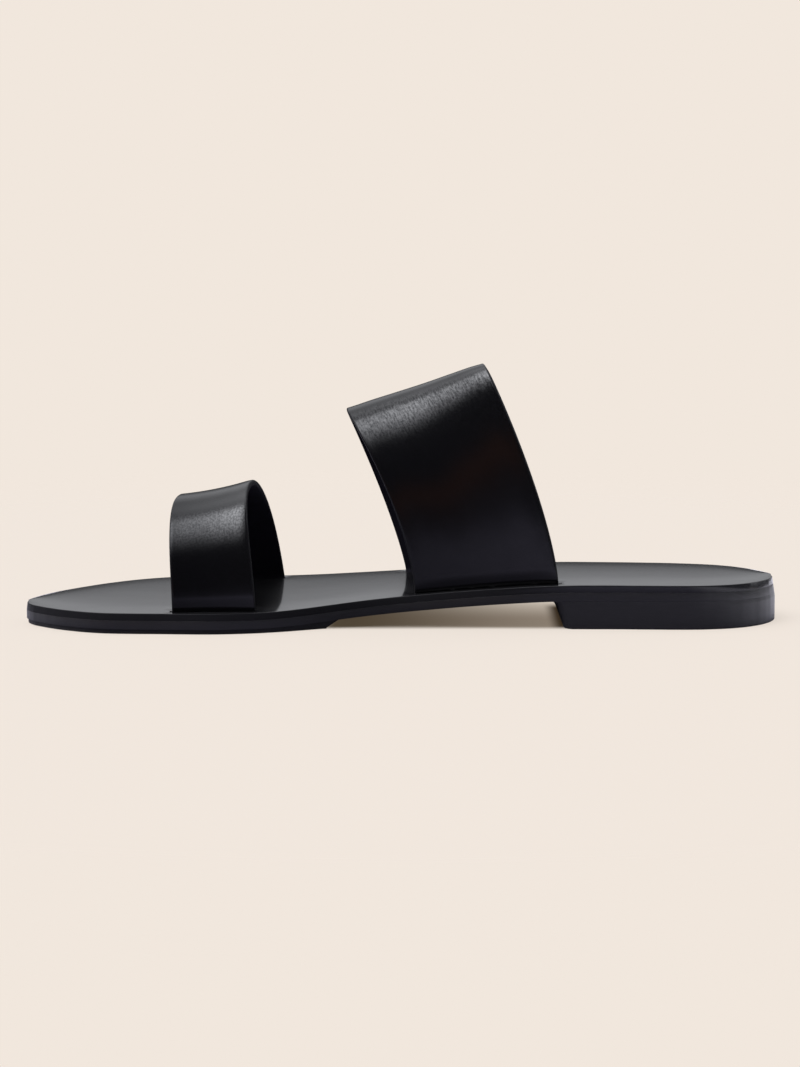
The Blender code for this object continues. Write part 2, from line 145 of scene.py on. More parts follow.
class Skin:
    """Grids of points gathered into one closed mesh."""

    MERGE = 5e-7
    SHARP = math.radians(40.0)

    def __init__(self) -> None:
        """Start with no points."""
        self.points: list[Array] = []
        self.faces: list[Array] = []
        self.marks: dict[str, list[Array]] = {}
        self.count = 0

    def grid(self, points: Array, wrap: bool = False, **marks: Array) -> None:
        """Add a grid of quads.

        Args:
            points: Rows by columns by three.
            wrap: Whether each row closes on itself.
            marks: Values by point that a finish reads, of three numbers or one each.
        """
        rows, columns = points.shape[:2]
        index = self.count + np.arange(rows * columns).reshape(rows, columns)
        if wrap:
            index = np.concatenate([index, index[:, :1]], axis=1)
        quads = np.stack([index[:-1, :-1], index[:-1, 1:], index[1:, 1:], index[1:, :-1]], axis=-1)
        self.points.append(points.reshape(-1, 3))
        self.faces.append(quads.reshape(-1, 4))
        for name, values in marks.items():
            self.marks.setdefault(name, []).append(values.reshape(rows * columns, -1))
        self.count += rows * columns

    def make(self, name: str) -> bpy.types.Object:
        """Turn the grids into an object, with meeting edges merged and faces outwards.

        Args:
            name: The piece's name.

        Returns:
            The object, linked to the scene.
        """
        mesh = bpy.data.meshes.new(name)
        mesh.from_pydata(np.concatenate(self.points), [], np.concatenate(self.faces))
        for mark, parts in self.marks.items():
            values = np.concatenate(parts).astype(np.float32)
            vector = values.shape[1] == 3
            layer = mesh.attributes.new(mark, "FLOAT_VECTOR" if vector else "FLOAT", "POINT")
            layer.data.foreach_set("vector" if vector else "value", values.ravel())
        bm = bmesh.new()
        bm.from_mesh(mesh)
        bmesh.ops.remove_doubles(bm, verts=bm.verts, dist=self.MERGE)
        bmesh.ops.dissolve_degenerate(bm, edges=bm.edges, dist=self.MERGE)
        bmesh.ops.recalc_face_normals(bm, faces=bm.faces)
        bm.to_mesh(mesh)
        bm.free()
        mesh.shade_smooth()
        mesh.set_sharp_from_angle(angle=self.SHARP)
        obj = bpy.data.objects.new(name, mesh)
        bpy.context.scene.collection.objects.link(obj)
        return obj


class Socket:
    """One output of a shader node, which reads like a number in an expression."""

    def __init__(self, shader: "ShaderTree", link: bpy.types.NodeSocket) -> None:
        """Wrap an output socket of a tree."""
        self.shader = shader
        self.link = link

    def maths(self, operation: str, *operands: "Socket | float") -> "Socket":
        """Add one Math node on some operands."""
        return self.shader.node("ShaderNodeMath", {"operation": operation}, dict(enumerate(operands)))

    def __add__(self, other: "Socket | float") -> "Socket":
        """Add."""
        return self.maths("ADD", self, other)

    __radd__ = __add__

    def __sub__(self, other: "Socket | float") -> "Socket":
        """Subtract."""
        return self.maths("SUBTRACT", self, other)

    def __rsub__(self, other: float) -> "Socket":
        """Subtract from a number."""
        return self.maths("SUBTRACT", other, self)

    def __mul__(self, other: "Socket | float") -> "Socket":
        """Multiply."""
        return self.maths("MULTIPLY", self, other)

    __rmul__ = __mul__

    def __pow__(self, other: float) -> "Socket":
        """Raise to a power."""
        return self.maths("POWER", self, other)

    def eased(self, low: float, high: float) -> "Socket":
        """Ease from 0 at low to 1 at high."""
        ends = {"Value": self, "From Min": low, "From Max": high}
        return self.shader.node("ShaderNodeMapRange", {"interpolation_type": "SMOOTHSTEP"}, ends)

    def part(self, name: str) -> "Socket":
        """Return another output of the same node."""
        return Socket(self.shader, self.link.node.outputs[name])


class ShaderTree:
    """A node tree that is written as expressions."""

    def __init__(self, tree: bpy.types.NodeTree) -> None:
        """Empty a tree."""
        self.tree = tree
        tree.nodes.clear()

    def node(
        self,
        kind: str,
        settings: dict[str, object] | None = None,
        inputs: dict[str | int, object] | None = None,
        output: str | int = 0,
    ) -> Socket:
        """Make any node.

        Args:
            kind: The node's type.
            settings: Properties, which are set first.
            inputs: A value or a Socket for each named or numbered input.
            output: The output to return.

        Returns:
            The chosen output.
        """
        made = self.tree.nodes.new(kind)
        for name, value in (settings or {}).items():
            setattr(made, name, value)
        for name, value in (inputs or {}).items():
            if isinstance(value, Socket):
                self.tree.links.new(value.link, made.inputs[name])
            else:
                made.inputs[name].default_value = value
        return Socket(self, made.outputs[output]) if made.outputs else None

    def object_mm(self) -> Socket:
        """Return the piece's own coordinates in millimetres."""
        place = self.node("ShaderNodeTexCoord", output="Object")
        return self.scaled(place, (1.0 / MM,) * 3)

    def scaled(self, vector: Socket, factors: Triple) -> Socket:
        """Multiply a vector by three factors."""
        return self.node("ShaderNodeVectorMath", {"operation": "MULTIPLY"}, {0: vector, 1: factors})

    def mark(self, name: str, vector: bool = False) -> Socket:
        """Read a value that the mesh carries by point."""
        kind = "Vector" if vector else "Fac"
        return self.node("ShaderNodeAttribute", {"attribute_name": name}, output=kind)

    def noise(
        self, vector: Socket, per_unit: float, detail: float = 2.0, rough: float = 0.5
    ) -> Socket:
        """Add soft noise.

        Args:
            vector: Where to read it.
            per_unit: Count of lumps per unit of the vector.
            detail: How many finer layers it has.
            rough: Strength of each finer layer.

        Returns:
            Values around 0.5.
        """
        inputs = {"Vector": vector, "Scale": per_unit, "Detail": detail, "Roughness": rough}
        return self.node("ShaderNodeTexNoise", inputs=inputs)

    def mixed(self, share: Socket, first: Socket | Triple, second: Socket | Triple) -> Socket:
        """Mix two colours.

        Args:
            share: 0 for the first colour, 1 for the second.
            first: A colour, or a socket that gives one.
            second: The other colour.

        Returns:
            The mixed colour.
        """
        ends = {6: first, 7: second}
        inputs = {i: end if isinstance(end, Socket) else (*end, 1.0) for i, end in ends.items()}
        return self.node("ShaderNodeMix", {"data_type": "RGBA"}, {0: share, **inputs}, output=2)

    def bumped(self, height: Socket) -> Socket:
        """Return a normal from a height in metres."""
        inputs = {"Strength": 1.0, "Distance": 1.0, "Height": height}
        return self.node("ShaderNodeBump", inputs=inputs)

    def surface(self, **inputs: object) -> None:
        """Finish a material with one Principled shader; underscores stand for spaces."""
        named = {name.replace("_", " "): value for name, value in inputs.items()}
        shader = self.node("ShaderNodeBsdfPrincipled", inputs=named)
        self.node("ShaderNodeOutputMaterial", inputs={"Surface": shader})


def new_material(name: str) -> tuple[bpy.types.Material, ShaderTree]:
    """Start a material with an empty tree.

    Args:
        name: The finish's name.

    Returns:
        The material and its tree.
    """
    material = bpy.data.materials.new(name)
    material.use_nodes = True
    return material, ShaderTree(material.node_tree)


@dataclass(frozen=True)
class StrapLeather:
    """Smooth black strap leather with a soft sheen, brushed grain and waxed cut edges."""

    name: str
    polish: Span
    streak_gloss: float
    pore_gloss: float
    streaks_per_mm: Span = (0.42, 1.85)
    streak_detail: Span = (3.0, 0.6)
    pores_per_mm: float = 1.35
    lumps_per_mm: float = 0.16
    face: Triple = (0.0028, 0.0027, 0.0034)
    flesh: Triple = (0.0110, 0.0098, 0.0160)
    edge: Triple = (0.0090, 0.0087, 0.0104)
    tint: Triple = (0.95, 0.96, 1.0)
    specular: float = 0.10
    roughness: float = 0.20
    lump_roughness: float = 0.08
    lump_gloss: float = 0.50
    flesh_roughness: float = 0.34
    edge_roughness: float = 0.42
    polish_ior: float = 1.36
    polish_roughness: float = 0.17
    grazing: Span = (0.66, 0.92)
    grazing_loss: float = 0.90
    grain: Span = (0.34, 0.66)
    streak_height: float = 0.008 * MM
    pore_height: float = 0.010 * MM
    lump_height: float = 0.012 * MM

    def material(self) -> bpy.types.Material:
        """Make the material: leather under a thin polish that the grain breaks up.

        The grain follows the strap's own lay, in millimetres, and the polish is lost on the cut
        edges, on the flesh side and at grazing angles.

        Returns:
            The material, which reads the marks lay, inner, rim, grain and across.
        """
        material, shader = new_material(self.name)
        lay = shader.mark("lay", vector=True)
        inner = shader.mark("inner")
        rim = shader.mark("rim")
        brushing = shader.scaled(lay, (*self.streaks_per_mm, 1.0))
        streaks = shader.noise(brushing, 1.0, *self.streak_detail)
        pores = shader.noise(lay, self.pores_per_mm)
        lumps = shader.noise(lay, self.lumps_per_mm)
        height = streaks * self.streak_height + pores * self.pore_height + lumps * self.lump_height
        brushed = (streaks.eased(*self.grain) - 0.5) * self.streak_gloss
        speckled = (pores.eased(*self.grain) - 0.5) * self.pore_gloss
        broken = (brushed + speckled) * shader.mark("grain") + (lumps - 0.5) * self.lump_gloss
        front, rear = self.polish
        polish = front + shader.mark("across") * (rear - front)
        facing = shader.node("ShaderNodeLayerWeight", inputs={"Blend": 0.5}, output="Facing")
        kept = (1.0 - rim) * (1.0 - inner) * (1.0 - facing.eased(*self.grazing) * self.grazing_loss)
        back = shader.mixed(inner, self.face, self.flesh)
        rough = self.roughness + (lumps - 0.5) * self.lump_roughness
        shader.surface(
            Base_Color=shader.mixed(rim, back, self.edge),
            Roughness=rough + inner * self.flesh_roughness + rim * rim * self.edge_roughness,
            Specular_IOR_Level=self.specular,
            Specular_Tint=(*self.tint, 1.0),
            Coat_Weight=polish * (1.0 + broken) * kept,
            Coat_IOR=self.polish_ior,
            Coat_Roughness=self.polish_roughness,
            Normal=shader.bumped(height),
        )
        return material


@dataclass(frozen=True)
class FootbedLeather:
    """Smooth black lining leather, satin on top, with a burnished edge."""

    name: str
    face: Triple = (0.0065, 0.0064, 0.0070)
    worn: Triple = (0.0110, 0.0110, 0.0115)
    trimmed: Triple = (0.0122, 0.0120, 0.0134)
    heel_trimmed: Triple = (0.0092, 0.0090, 0.0108)
    heel_reach_mm: Span = (30.0, 65.0)
    specular: float = 0.04
    roughness: float = 0.35
    gloss: float = 0.97
    heel_edge_gloss: float = 0.60
    rubbed_gloss: float = 0.20
    gloss_ior: float = 1.45
    gloss_roughness: float = 0.09
    grain_per_mm: float = 3.0
    lumps_per_mm: float = 0.07
    rubs_per_mm: Triple = (0.05, 0.09, 0.09)
    rub_limits: Span = (0.42, 0.75)
    grain_roughness: float = 0.06
    grain_height: float = 0.0035 * MM
    lump_height: float = 0.012 * MM

    def material(self) -> bpy.types.Material:
        """Make the material on the piece's own coordinates, with a gloss that its edge loses.

        Returns:
            The material, which reads the mark edge.
        """
        material, shader = new_material(self.name)
        place = shader.object_mm()
        grain = shader.noise(place, self.grain_per_mm)
        lumps = shader.noise(place, self.lumps_per_mm, detail=3.0)
        rubbed = shader.noise(shader.scaled(place, self.rubs_per_mm), 1.0)
        edge = shader.mark("edge")
        height = grain * self.grain_height + lumps * self.lump_height
        top = shader.mixed(rubbed.eased(*self.rub_limits), self.face, self.worn)
        along = shader.node("ShaderNodeSeparateXYZ", inputs={0: place}, output="X")
        heelward = along.eased(*self.heel_reach_mm)
        trimmed = shader.mixed(heelward, self.trimmed, self.heel_trimmed)
        gloss = self.gloss + (0.5 - rubbed) * self.rubbed_gloss
        shader.surface(
            Base_Color=shader.mixed(edge, top, trimmed),
            Roughness=self.roughness + (grain - 0.5) * self.grain_roughness,
            Specular_IOR_Level=self.specular,
            Coat_Weight=gloss * (1.0 - edge * (1.0 - heelward * self.heel_edge_gloss)),
            Coat_IOR=self.gloss_ior,
            Coat_Roughness=self.gloss_roughness,
            Normal=shader.bumped(height),
        )
        return material


@dataclass(frozen=True)
class EdgeLeather:
    """Pressed black sole leather, trimmed, dyed and waxed, with the faint lines of its layers."""

    name: str
    face: Triple = (0.0103, 0.0100, 0.0108)
    line: Triple = (0.0078, 0.0076, 0.0082)
    tint: Triple = (0.98, 0.98, 1.0)
    specular: float = 0.46
    roughness: float = 0.40
    front_roughness: float = 0.60
    fibre_roughness: float = 0.14
    patch_roughness: float = 0.16
    fibres_per_mm: Triple = (0.16, 0.16, 3.2)
    fibre_detail: Span = (3.0, 0.6)
    fibre_limits: Span = (0.38, 0.62)
    grain_per_mm: float = 2.2
    patches_per_mm: float = 0.09
    fibre_height: float = 0.006 * MM
    grain_height: float = 0.004 * MM

    def material(self) -> bpy.types.Material:
        """Make the material: fibres run level along the trimmed edge, and a front wall is unwaxed.

        Returns:
            The material, which reads the mark front.
        """
        material, shader = new_material(self.name)
        place = shader.object_mm()
        level = shader.scaled(place, self.fibres_per_mm)
        fibres = shader.noise(level, 1.0, *self.fibre_detail)
        grain = shader.noise(place, self.grain_per_mm)
        patches = shader.noise(place, self.patches_per_mm)
        rough = self.roughness + shader.mark("front") * self.front_roughness
        uneven = (fibres - 0.5) * self.fibre_roughness + (patches - 0.5) * self.patch_roughness
        shader.surface(
            Base_Color=shader.mixed(fibres.eased(*self.fibre_limits), self.line, self.face),
            Roughness=rough + uneven,
            Specular_IOR_Level=self.specular,
            Specular_Tint=(*self.tint, 1.0),
            Normal=shader.bumped(fibres * self.fibre_height + grain * self.grain_height),
        )
        return material


@dataclass(frozen=True)
class TreadRubber:
    """Matt black tread rubber with a fine pebbled face."""

    name: str
    face: Triple = (0.0098, 0.0098, 0.0104)
    dust: Triple = (0.0150, 0.0146, 0.0144)
    specular: float = 0.35
    roughness: float = 0.58
    dust_roughness: float = 0.2
    dust_per_mm: float = 0.12
    dust_limits: Span = (0.45, 0.7)
    pebbles_per_mm: float = 1.0 / 0.9
    pebble_height: float = 0.05 * MM

    def material(self) -> bpy.types.Material:
        """Make the material on the piece's own coordinates.

        Returns:
            The material.
        """
        material, shader = new_material(self.name)
        place = shader.object_mm()
        pebbles = shader.node(
            "ShaderNodeTexVoronoi",
            {"feature": "SMOOTH_F1"},
            {"Vector": place, "Scale": self.pebbles_per_mm},
        )
        dusty = shader.noise(place, self.dust_per_mm, detail=3.0)
        shader.surface(
            Base_Color=shader.mixed(dusty.eased(*self.dust_limits), self.face, self.dust),
            Roughness=self.roughness + (dusty - 0.5) * self.dust_roughness,
            Specular_IOR_Level=self.specular,
            Normal=shader.bumped(pebbles * -self.pebble_height),
        )
        return material


@dataclass(frozen=True)
class OutlineRow:
    """One station of the sole's outline, as shares of the sole's length and of the ball width."""

    station: float
    medial: float
    lateral: float


OUTLINE = (
    OutlineRow(0.020, -0.226, 0.097),
    OutlineRow(0.060, -0.320, 0.270),
    OutlineRow(0.112, -0.384, 0.433),
    OutlineRow(0.180, -0.398, 0.550),
    OutlineRow(0.260, -0.406, 0.588),
    OutlineRow(0.340, -0.353, 0.587),
    OutlineRow(0.440, -0.232, 0.548),
    OutlineRow(0.540, -0.226, 0.462),
    OutlineRow(0.660, -0.271, 0.378),
    OutlineRow(0.800, -0.286, 0.340),
    OutlineRow(0.900, -0.290, 0.300),
    OutlineRow(0.952, -0.236, 0.234),
    OutlineRow(0.984, -0.146, 0.130),
)


class Side(Enum):
    """The two sides of the foot, with the sign of Y that leads inwards."""

    MEDIAL = 1.0
    LATERAL = -1.0


@dataclass
class SoleForm:
    """The outline and heights that all layers of the sole share."""

    shoe_length: float = 250.0 * MM
    ball_width: float = 88.0 * MM
    toe_tip: float = -0.100
    heel_tip: float = -0.012
    heel_seat: float = 14.6 * MM
    forefoot: float = 6.8 * MM
    waist: Span = (0.308, 0.748)
    toe_spring: float = 0.2 * MM
    toe_spring_end: float = 0.20
    heel_flare: float = 1.0 * MM
    heel_flare_depth: float = 6.5 * MM
    heel_flare_start: float = 0.90
    steps: int = 420
    middle_columns: int = 24
    margin_most: float = 0.45
    trim_waves: tuple[Triple, ...] = (
        (0.030 * MM, 31.0, 0.7),
        (0.022 * MM, 53.0, 2.1),
        (0.014 * MM, 97.0, 4.4),
    )
    spline: ClosedSpline = field(init=False)

    def __post_init__(self) -> None:
        """Fit the outline's curve and centre it on the X axis."""
        stations = np.array([row.station for row in OUTLINE])
        medial = np.array([row.medial for row in OUTLINE])
        lateral = np.array([row.lateral for row in OUTLINE])
        turns = self.angle(stations)
        angles = np.concatenate([[0.0], turns, [np.pi], TURN - turns[::-1]])
        shares = np.concatenate([[self.toe_tip], medial, [self.heel_tip], lateral[::-1]])
        loose = ClosedSpline(angles, shares * self.ball_width)
        sideways = loose.at(np.linspace(0.0, TURN, self.steps))[0]
        middle = 0.5 * (sideways.min() + sideways.max())
        self.spline = ClosedSpline(angles, shares * self.ball_width - middle)

    @property
    def toe_x(self) -> float:
        """The X of the toe's tip."""
        return -0.5 * self.shoe_length

    @property
    def length(self) -> float:
        """The length of the footbed, without the heel's flare."""
        return self.shoe_length - self.heel_flare

    def angle(self, station: Array | float) -> Array:
        """Turn stations of the sole into angles on the medial side."""
        return np.arccos(1.0 - 2.0 * np.asarray(station))

    def x_at(self, station: Array | float) -> Array:
        """Return the X of a station."""
        return self.toe_x + self.length * np.asarray(station)

    def outline(self, angles: Array, outward: Array | float = 0.0) -> Array:
        """Return outline points moved outwards along the outline's normal.

        Args:
            angles: Angles round the sole: toe, medial side, heel, lateral side.
            outward: Distance to move each point.

        Returns:
            X and Y of each point.
        """
        x = self.toe_x + 0.5 * self.length * (1.0 - np.cos(angles))
        x_rate = 0.5 * self.length * np.sin(angles)
        y, y_rate = self.spline.at(angles)
        norm = np.hypot(x_rate, y_rate)
        return np.stack([x + outward * y_rate / norm, y - outward * x_rate / norm], axis=-1)

    def rim(self, angles: Array, inset: Array, depth: Array) -> Array:
        """Return the trimmed edge: square to the floor, spreading at the back of the heel.

        Args:
            angles: Angles round the sole.
            inset: Distance inside the outline.
            depth: Depth below the footbed, where the flare grows with depth.

        Returns:
            X and Y of each point, for angles, inset and depth of one shared shape.
        """
        station = 0.5 * (1.0 - np.cos(angles))
        at_back = ease((station - self.heel_flare_start) / (1.0 - self.heel_flare_start))
        flare = self.heel_flare * at_back * np.minimum(depth / self.heel_flare_depth, 1.0)
        return self.outline(angles, flare - inset + ripple(angles, self.trim_waves))

    def lift(self, x: Array) -> Array:
        """Return how far the toe spring lifts the sole off the floor, on a parabola by X."""
        station = (x - self.toe_x) / self.length
        return self.toe_spring * np.clip(1.0 - station / self.toe_spring_end, 0.0, 1.0) ** 2

    def footbed(self, x: Array) -> Array:
        """Shape the footbed: level forefoot, eased waist, level heel seat.

        Args:
            x: Where to read it.

        Returns:
            The footbed's height.
        """
        start, end = self.waist
        station = (x - self.toe_x) / self.length
        rise = ease((station - start) / (end - start))
        return self.forefoot + (self.heel_seat - self.forefoot) * rise + self.lift(x)

    def ring_angles(self) -> Array:
        """Return the angles of the points round a full layer."""
        return np.linspace(0.0, TURN, 2 * self.steps, endpoint=False)

    def rings(
        self,
        profile: Array,
        top: Callable[[Array], Array],
        top_depth: float,
        lean: Array | float = 0.0,
    ) -> Array:
        """Carry an edge profile round the outline.

        Args:
            profile: Rows of inset and drop, from the layer's bottom to its top.
            top: The height of the layer's top by X.
            top_depth: Depth of that top below the footbed.
            lean: Further inset by row and angle.

        Returns:
            Points by profile row and angle.
        """
        angles = np.broadcast_to(self.ring_angles(), (len(profile), 2 * self.steps))
        drop = profile[:, 1:]
        plan = self.rim(angles, profile[:, :1] + lean, top_depth + drop)
        return raised(plan, top(plan[..., 0]) - drop)

    def across(self, ring: Array, spread: Array) -> tuple[Array, Array]:
        """Lay a sheet of points between the two sides of a ring.

        Args:
            ring: The ring's points, from the toe round the medial side and back.
            spread: Distances from each edge at which lines of points run along it.

        Returns:
            X and Y by station and column, and each point's share of the way across.
        """
        medial = ring[: self.steps + 1, :2]
        lateral = np.concatenate([ring[:1], ring[: self.steps - 1 : -1]])[:, :2]
        width = np.linalg.norm(lateral - medial, axis=1)[:, None] + TINY
        near = np.minimum(spread / width, self.margin_most * np.linspace(0.0, 1.0, len(spread)))
        inner = near[:, -1:]
        middle = np.linspace(0.0, 1.0, self.middle_columns + 2)[1:-1]
        middle = inner + (1.0 - 2.0 * inner) * middle
        shares = np.concatenate([near, middle, 1.0 - near[:, ::-1]], axis=1)
        plan = medial[:, None] + (lateral - medial)[:, None] * shares[..., None]
        return plan, shares


@dataclass(frozen=True)
class StrapSection:
    """One section over a strap: feet and crown as stations of the sole, and the lean's bow.

    The crown's place is a share of the way from the medial to the lateral foot.
    """

    medial_foot: float
    lateral_foot: float
    crown: float
    crown_height: float
    crown_place: float
    medial_bow: float
    lateral_bow: float


@dataclass(frozen=True)
class Crease:
    """A soft ridge, or a trough where its rise is below 0, on a strap's sheet.

    Its place is given as shares of the strap's length and width, its reach in metres.
    """

    along: float
    across: float
    reach_along: float
    reach_across: float
    rise: float
    turn_deg: float = 0.0


@dataclass
class Slot:
    """A slot in the insole for one end of a strap, and the pocket under it for the tucked tail."""

    front: Array
    rear: Array
    side: Side

    @property
    def along(self) -> Array:
        """The slot's direction in plan."""
        return (self.rear - self.front) / np.linalg.norm(self.rear - self.front)

    @property
    def inward(self) -> Array:
        """The direction from the slot to the middle of the sole."""
        return self.side.value * np.array([-self.along[1], self.along[0]])

    def at(self, shares: Array) -> Array:
        """Return plan points at shares of the slot's length."""
        return self.front + (self.rear - self.front) * np.asarray(shares)[..., None]

    def distances(self, plan: Array) -> tuple[Array, Array]:
        """Measure plan points against the slot.

        Args:
            plan: X and Y of the points.

        Returns:
            Distance past the slot's ends, below 0 between them, and distance inwards.
        """
        offset = plan - 0.5 * (self.front + self.rear)
        half = 0.5 * np.linalg.norm(self.rear - self.front)
        return np.abs(offset @ self.along) - half, offset @ self.inward


@dataclass
class Strap:
    """A leather band over the foot, whose ends pass through the insole and tuck under it."""

    name: str
    node: str
    sole: SoleForm
    finish: StrapLeather
    front: StrapSection
    middle: StrapSection
    rear: StrapSection
    medial_fullness: float
    lateral_fullness: float
    creases: tuple[Crease, ...]
    roll: float
    roll_foot: float
    roll_fade: float
    edge_radius: float
    shoulder: Stops
    instep_height: float = 70.0 * MM
    thickness: float = 2.0 * MM
    foot_inset: float = 5.0 * MM
    skive_length: float = 5.0 * MM
    slot_skive: float = 0.7
    tail_skive: float = 0.5
    tail_length: float = 11.0 * MM
    bend_radius: float = 1.0 * MM
    tail_drop: float = 0.8 * MM
    insole_thickness: float = 2.2 * MM
    edge_powers: Span = (0.7, 0.75)
    flesh_gap_mm: float = 9.0
    arch_steps: int = 220
    bend_steps: int = 6
    face_columns: int = 40
    edge_steps: int = 10
    dense_steps: int = 1500
    length_lines: int = 9
    probe: float = 1e-4

    def slot(self, side: Side) -> Slot:
        """Place one end of the strap a fixed inset inside the sole's edge.

        Args:
            side: The side of the foot.

        Returns:
            The slot for that end.
        """
        medial = side is Side.MEDIAL
        ends = []
        for row in (self.front, self.rear):
            turn = self.sole.angle(row.medial_foot if medial else row.lateral_foot)
            edge = self.sole.outline(turn if medial else TURN - turn)
            ends.append(edge + np.array([0.0, side.value * self.foot_inset]))
        return Slot(ends[0], ends[1], side)

    def blended(self, column: str, shares: Array) -> Array:
        """Read one column of the sections on a parabola through front, middle and rear.

        Args:
            column: The name of a section's field.
            shares: Shares of the strap's width.

        Returns:
            The column's value at each share.
        """
        front, middle, rear = (getattr(row, column) for row in (self.front, self.middle, self.rear))
        return (
            2.0 * (shares - 0.5) * (shares - 1.0) * front
            + 4.0 * shares * (1.0 - shares) * middle
            + 2.0 * shares * (shares - 0.5) * rear
        )

    def on_footbed(self, plan: Array) -> Array:
        """Raise plan points to the footbed."""
        return raised(plan, self.sole.footbed(plan[..., 0]))

    def dense_arch(self, shares: Array) -> Array:
        """Return the strap's middle sheet as two quarters of a superellipse that lean forward.

        A quarter goes from its foot to the crown as base + (foot - base) cos^(2/p) + (lean, height)
        sin^(2/p), and its lean is raised to the power of the section's bow.

        Args:
            shares: Shares of the strap's width.

        Returns:
            Points by share and step, from the medial to the lateral slot.
        """
        feet = [self.on_footbed(self.slot(side).at(shares)) for side in Side]
        base = feet[0] + (feet[1] - feet[0]) * self.blended("crown_place", shares)[:, None]
        height = self.instep_height * self.blended("crown_height", shares)
        lean = self.sole.x_at(self.blended("crown", shares)) - base[:, 0]
        turns = np.linspace(0.0, 0.5 * np.pi, self.dense_steps)
        quarters = []
        fullness = (self.medial_fullness, self.lateral_fullness)
        for foot, power, bow in zip(feet, fullness, ("medial_bow", "lateral_bow")):
            outward = np.cos(turns) ** (2.0 / power)
            upward = np.sin(turns) ** (2.0 / power)
            leaning = lean[:, None] * upward ** self.blended(bow, shares)[:, None]
            rise = np.stack([leaning, np.zeros_like(leaning), height[:, None] * upward], axis=-1)
            quarters.append(base[:, None] + (foot - base)[:, None] * outward[:, None] + rise)
        return np.concatenate([quarters[0], quarters[1][:, -2::-1]], axis=1)

    def even_steps(self) -> Array:
        """Find the dense steps that lie evenly along the strap's length.

        Returns:
            Their places as fractions, from the lengths of a few lines averaged over the width.
        """
        sheet = self.dense_arch(np.linspace(0.0, 1.0, self.length_lines))
        gone = np.cumsum(np.linalg.norm(np.diff(sheet, axis=1), axis=-1), axis=1)
        gone = np.concatenate([[0.0], (gone / gone[:, -1:]).mean(axis=0)])
        return np.interp(np.linspace(0.0, 1.0, self.arch_steps + 1), gone, np.arange(len(gone)))

    def tail(self, side: Side, shares: Array) -> Array:
        """Shape the sheet below a slot: a quarter bend, then a tail tucked under the insole.

        Args:
            side: The side of the foot.
            shares: Shares of the strap's width.

        Returns:
            Points by share and step, from the slot inwards.
        """
        slot = self.slot(side)
        plan = slot.at(shares)
        floor = self.sole.footbed(plan[:, 0]) - self.insole_thickness - self.tail_drop
        turns = np.linspace(0.0, 0.5 * np.pi, self.bend_steps + 1)
        bend = self.bend_radius * (1.0 - np.cos(turns))
        reach = np.append(bend, self.bend_radius + self.tail_length)
        drop = np.append(self.bend_radius * (1.0 - np.sin(turns)), 0.0)
        place = plan[:, None] + slot.inward * reach[:, None]
        return raised(place, floor[:, None] + drop)

    def sheet(self, shares: Array, steps: Array) -> Array:
        """Join the arch and both tails into one middle sheet.

        Args:
            shares: Shares of the strap's width.
            steps: Places on the dense arch, as fractions.

        Returns:
            Points by share and step, tail to tail.
        """
        dense = self.dense_arch(shares)
        low = np.minimum(steps.astype(int), dense.shape[1] - 2)
        part = (steps - low)[:, None]
        arch = dense[:, low] * (1.0 - part) + dense[:, low + 1] * part
        tails = [self.tail(side, shares) for side in Side]
        return np.concatenate([tails[0][:, ::-1], arch, tails[1]], axis=1)

    def section_loop(self, width: float) -> tuple[Array, Array, Array]:
        """Return the strap's cross-section: two faces and two rounded cut edges.

        Args:
            width: The strap's width.

        Returns:
            Share of the width, side of the sheet from 1 outside to -1 inside, and how much each
            point belongs to a cut edge, round the section.
        """
        margin = self.edge_radius / width
        face = np.linspace(margin, 1.0 - margin, self.face_columns + 1)
        turns = np.linspace(0.5 * np.pi, -0.5 * np.pi, self.edge_steps + 1)[1:-1]
        out, up = self.edge_powers
        bulge = margin * np.abs(np.cos(turns)) ** out
        level = np.sign(np.sin(turns)) * np.abs(np.sin(turns)) ** up
        shares = np.concatenate([face, 1.0 - margin + bulge, face[::-1], margin - bulge])
        levels = np.concatenate([np.ones_like(face), level, -np.ones_like(face), -level])
        rims = np.concatenate([0.0 * face, np.cos(turns), 0.0 * face, np.cos(turns)])
        return shares, levels, rims

    def half_thickness(self, length: float, tail_rows: int) -> Array:
        """Thin the strap: full over the foot, skived towards both slots and along the tails.

        Args:
            length: The strap's length over the foot.
            tail_rows: Rows of points in each tail.

        Returns:
            Half the thickness by row.
        """
        from_slot = length * np.linspace(0.0, 1.0, self.arch_steps + 1)
        from_slot = np.minimum(from_slot, from_slot[::-1])
        over = self.slot_skive + (1.0 - self.slot_skive) * ease(from_slot / self.skive_length)
        bend = np.linspace(self.slot_skive, self.tail_skive, tail_rows - 1)
        tail = np.append(bend, self.tail_skive)
        return 0.5 * self.thickness * np.concatenate([tail[::-1], over, tail])

    def rolled(self, from_slot: Array) -> Array:
        """Return how far the leather rolls outwards above a slot: r (1 - exp(-s/a)) exp(-s/b)."""
        swell = 1.0 - np.exp(-from_slot / self.roll_foot)
        return self.roll * swell * np.exp(-from_slot / self.roll_fade)

    def creased(self, along: Array, across: Array, length: float, width: float) -> Array:
        """Sum the creases: each is its rise times exp(-a^2 - b^2) on its own turned axes.

        Args:
            along: Distance along the strap by row.
            across: Distance across it by point of the section.
            length: The strap's length over the foot.
            width: Its width.

        Returns:
            How far each point moves outwards.
        """
        total = np.zeros(np.broadcast_shapes(along.shape, across.shape))
        for crease in self.creases:
            turn = math.radians(crease.turn_deg)
            a = along - crease.along * length
            b = across - crease.across * width
            down = (a * math.cos(turn) + b * math.sin(turn)) / crease.reach_along
            over = (b * math.cos(turn) - a * math.sin(turn)) / crease.reach_across
            total = total + crease.rise * np.exp(-(down**2) - over**2)
        return total

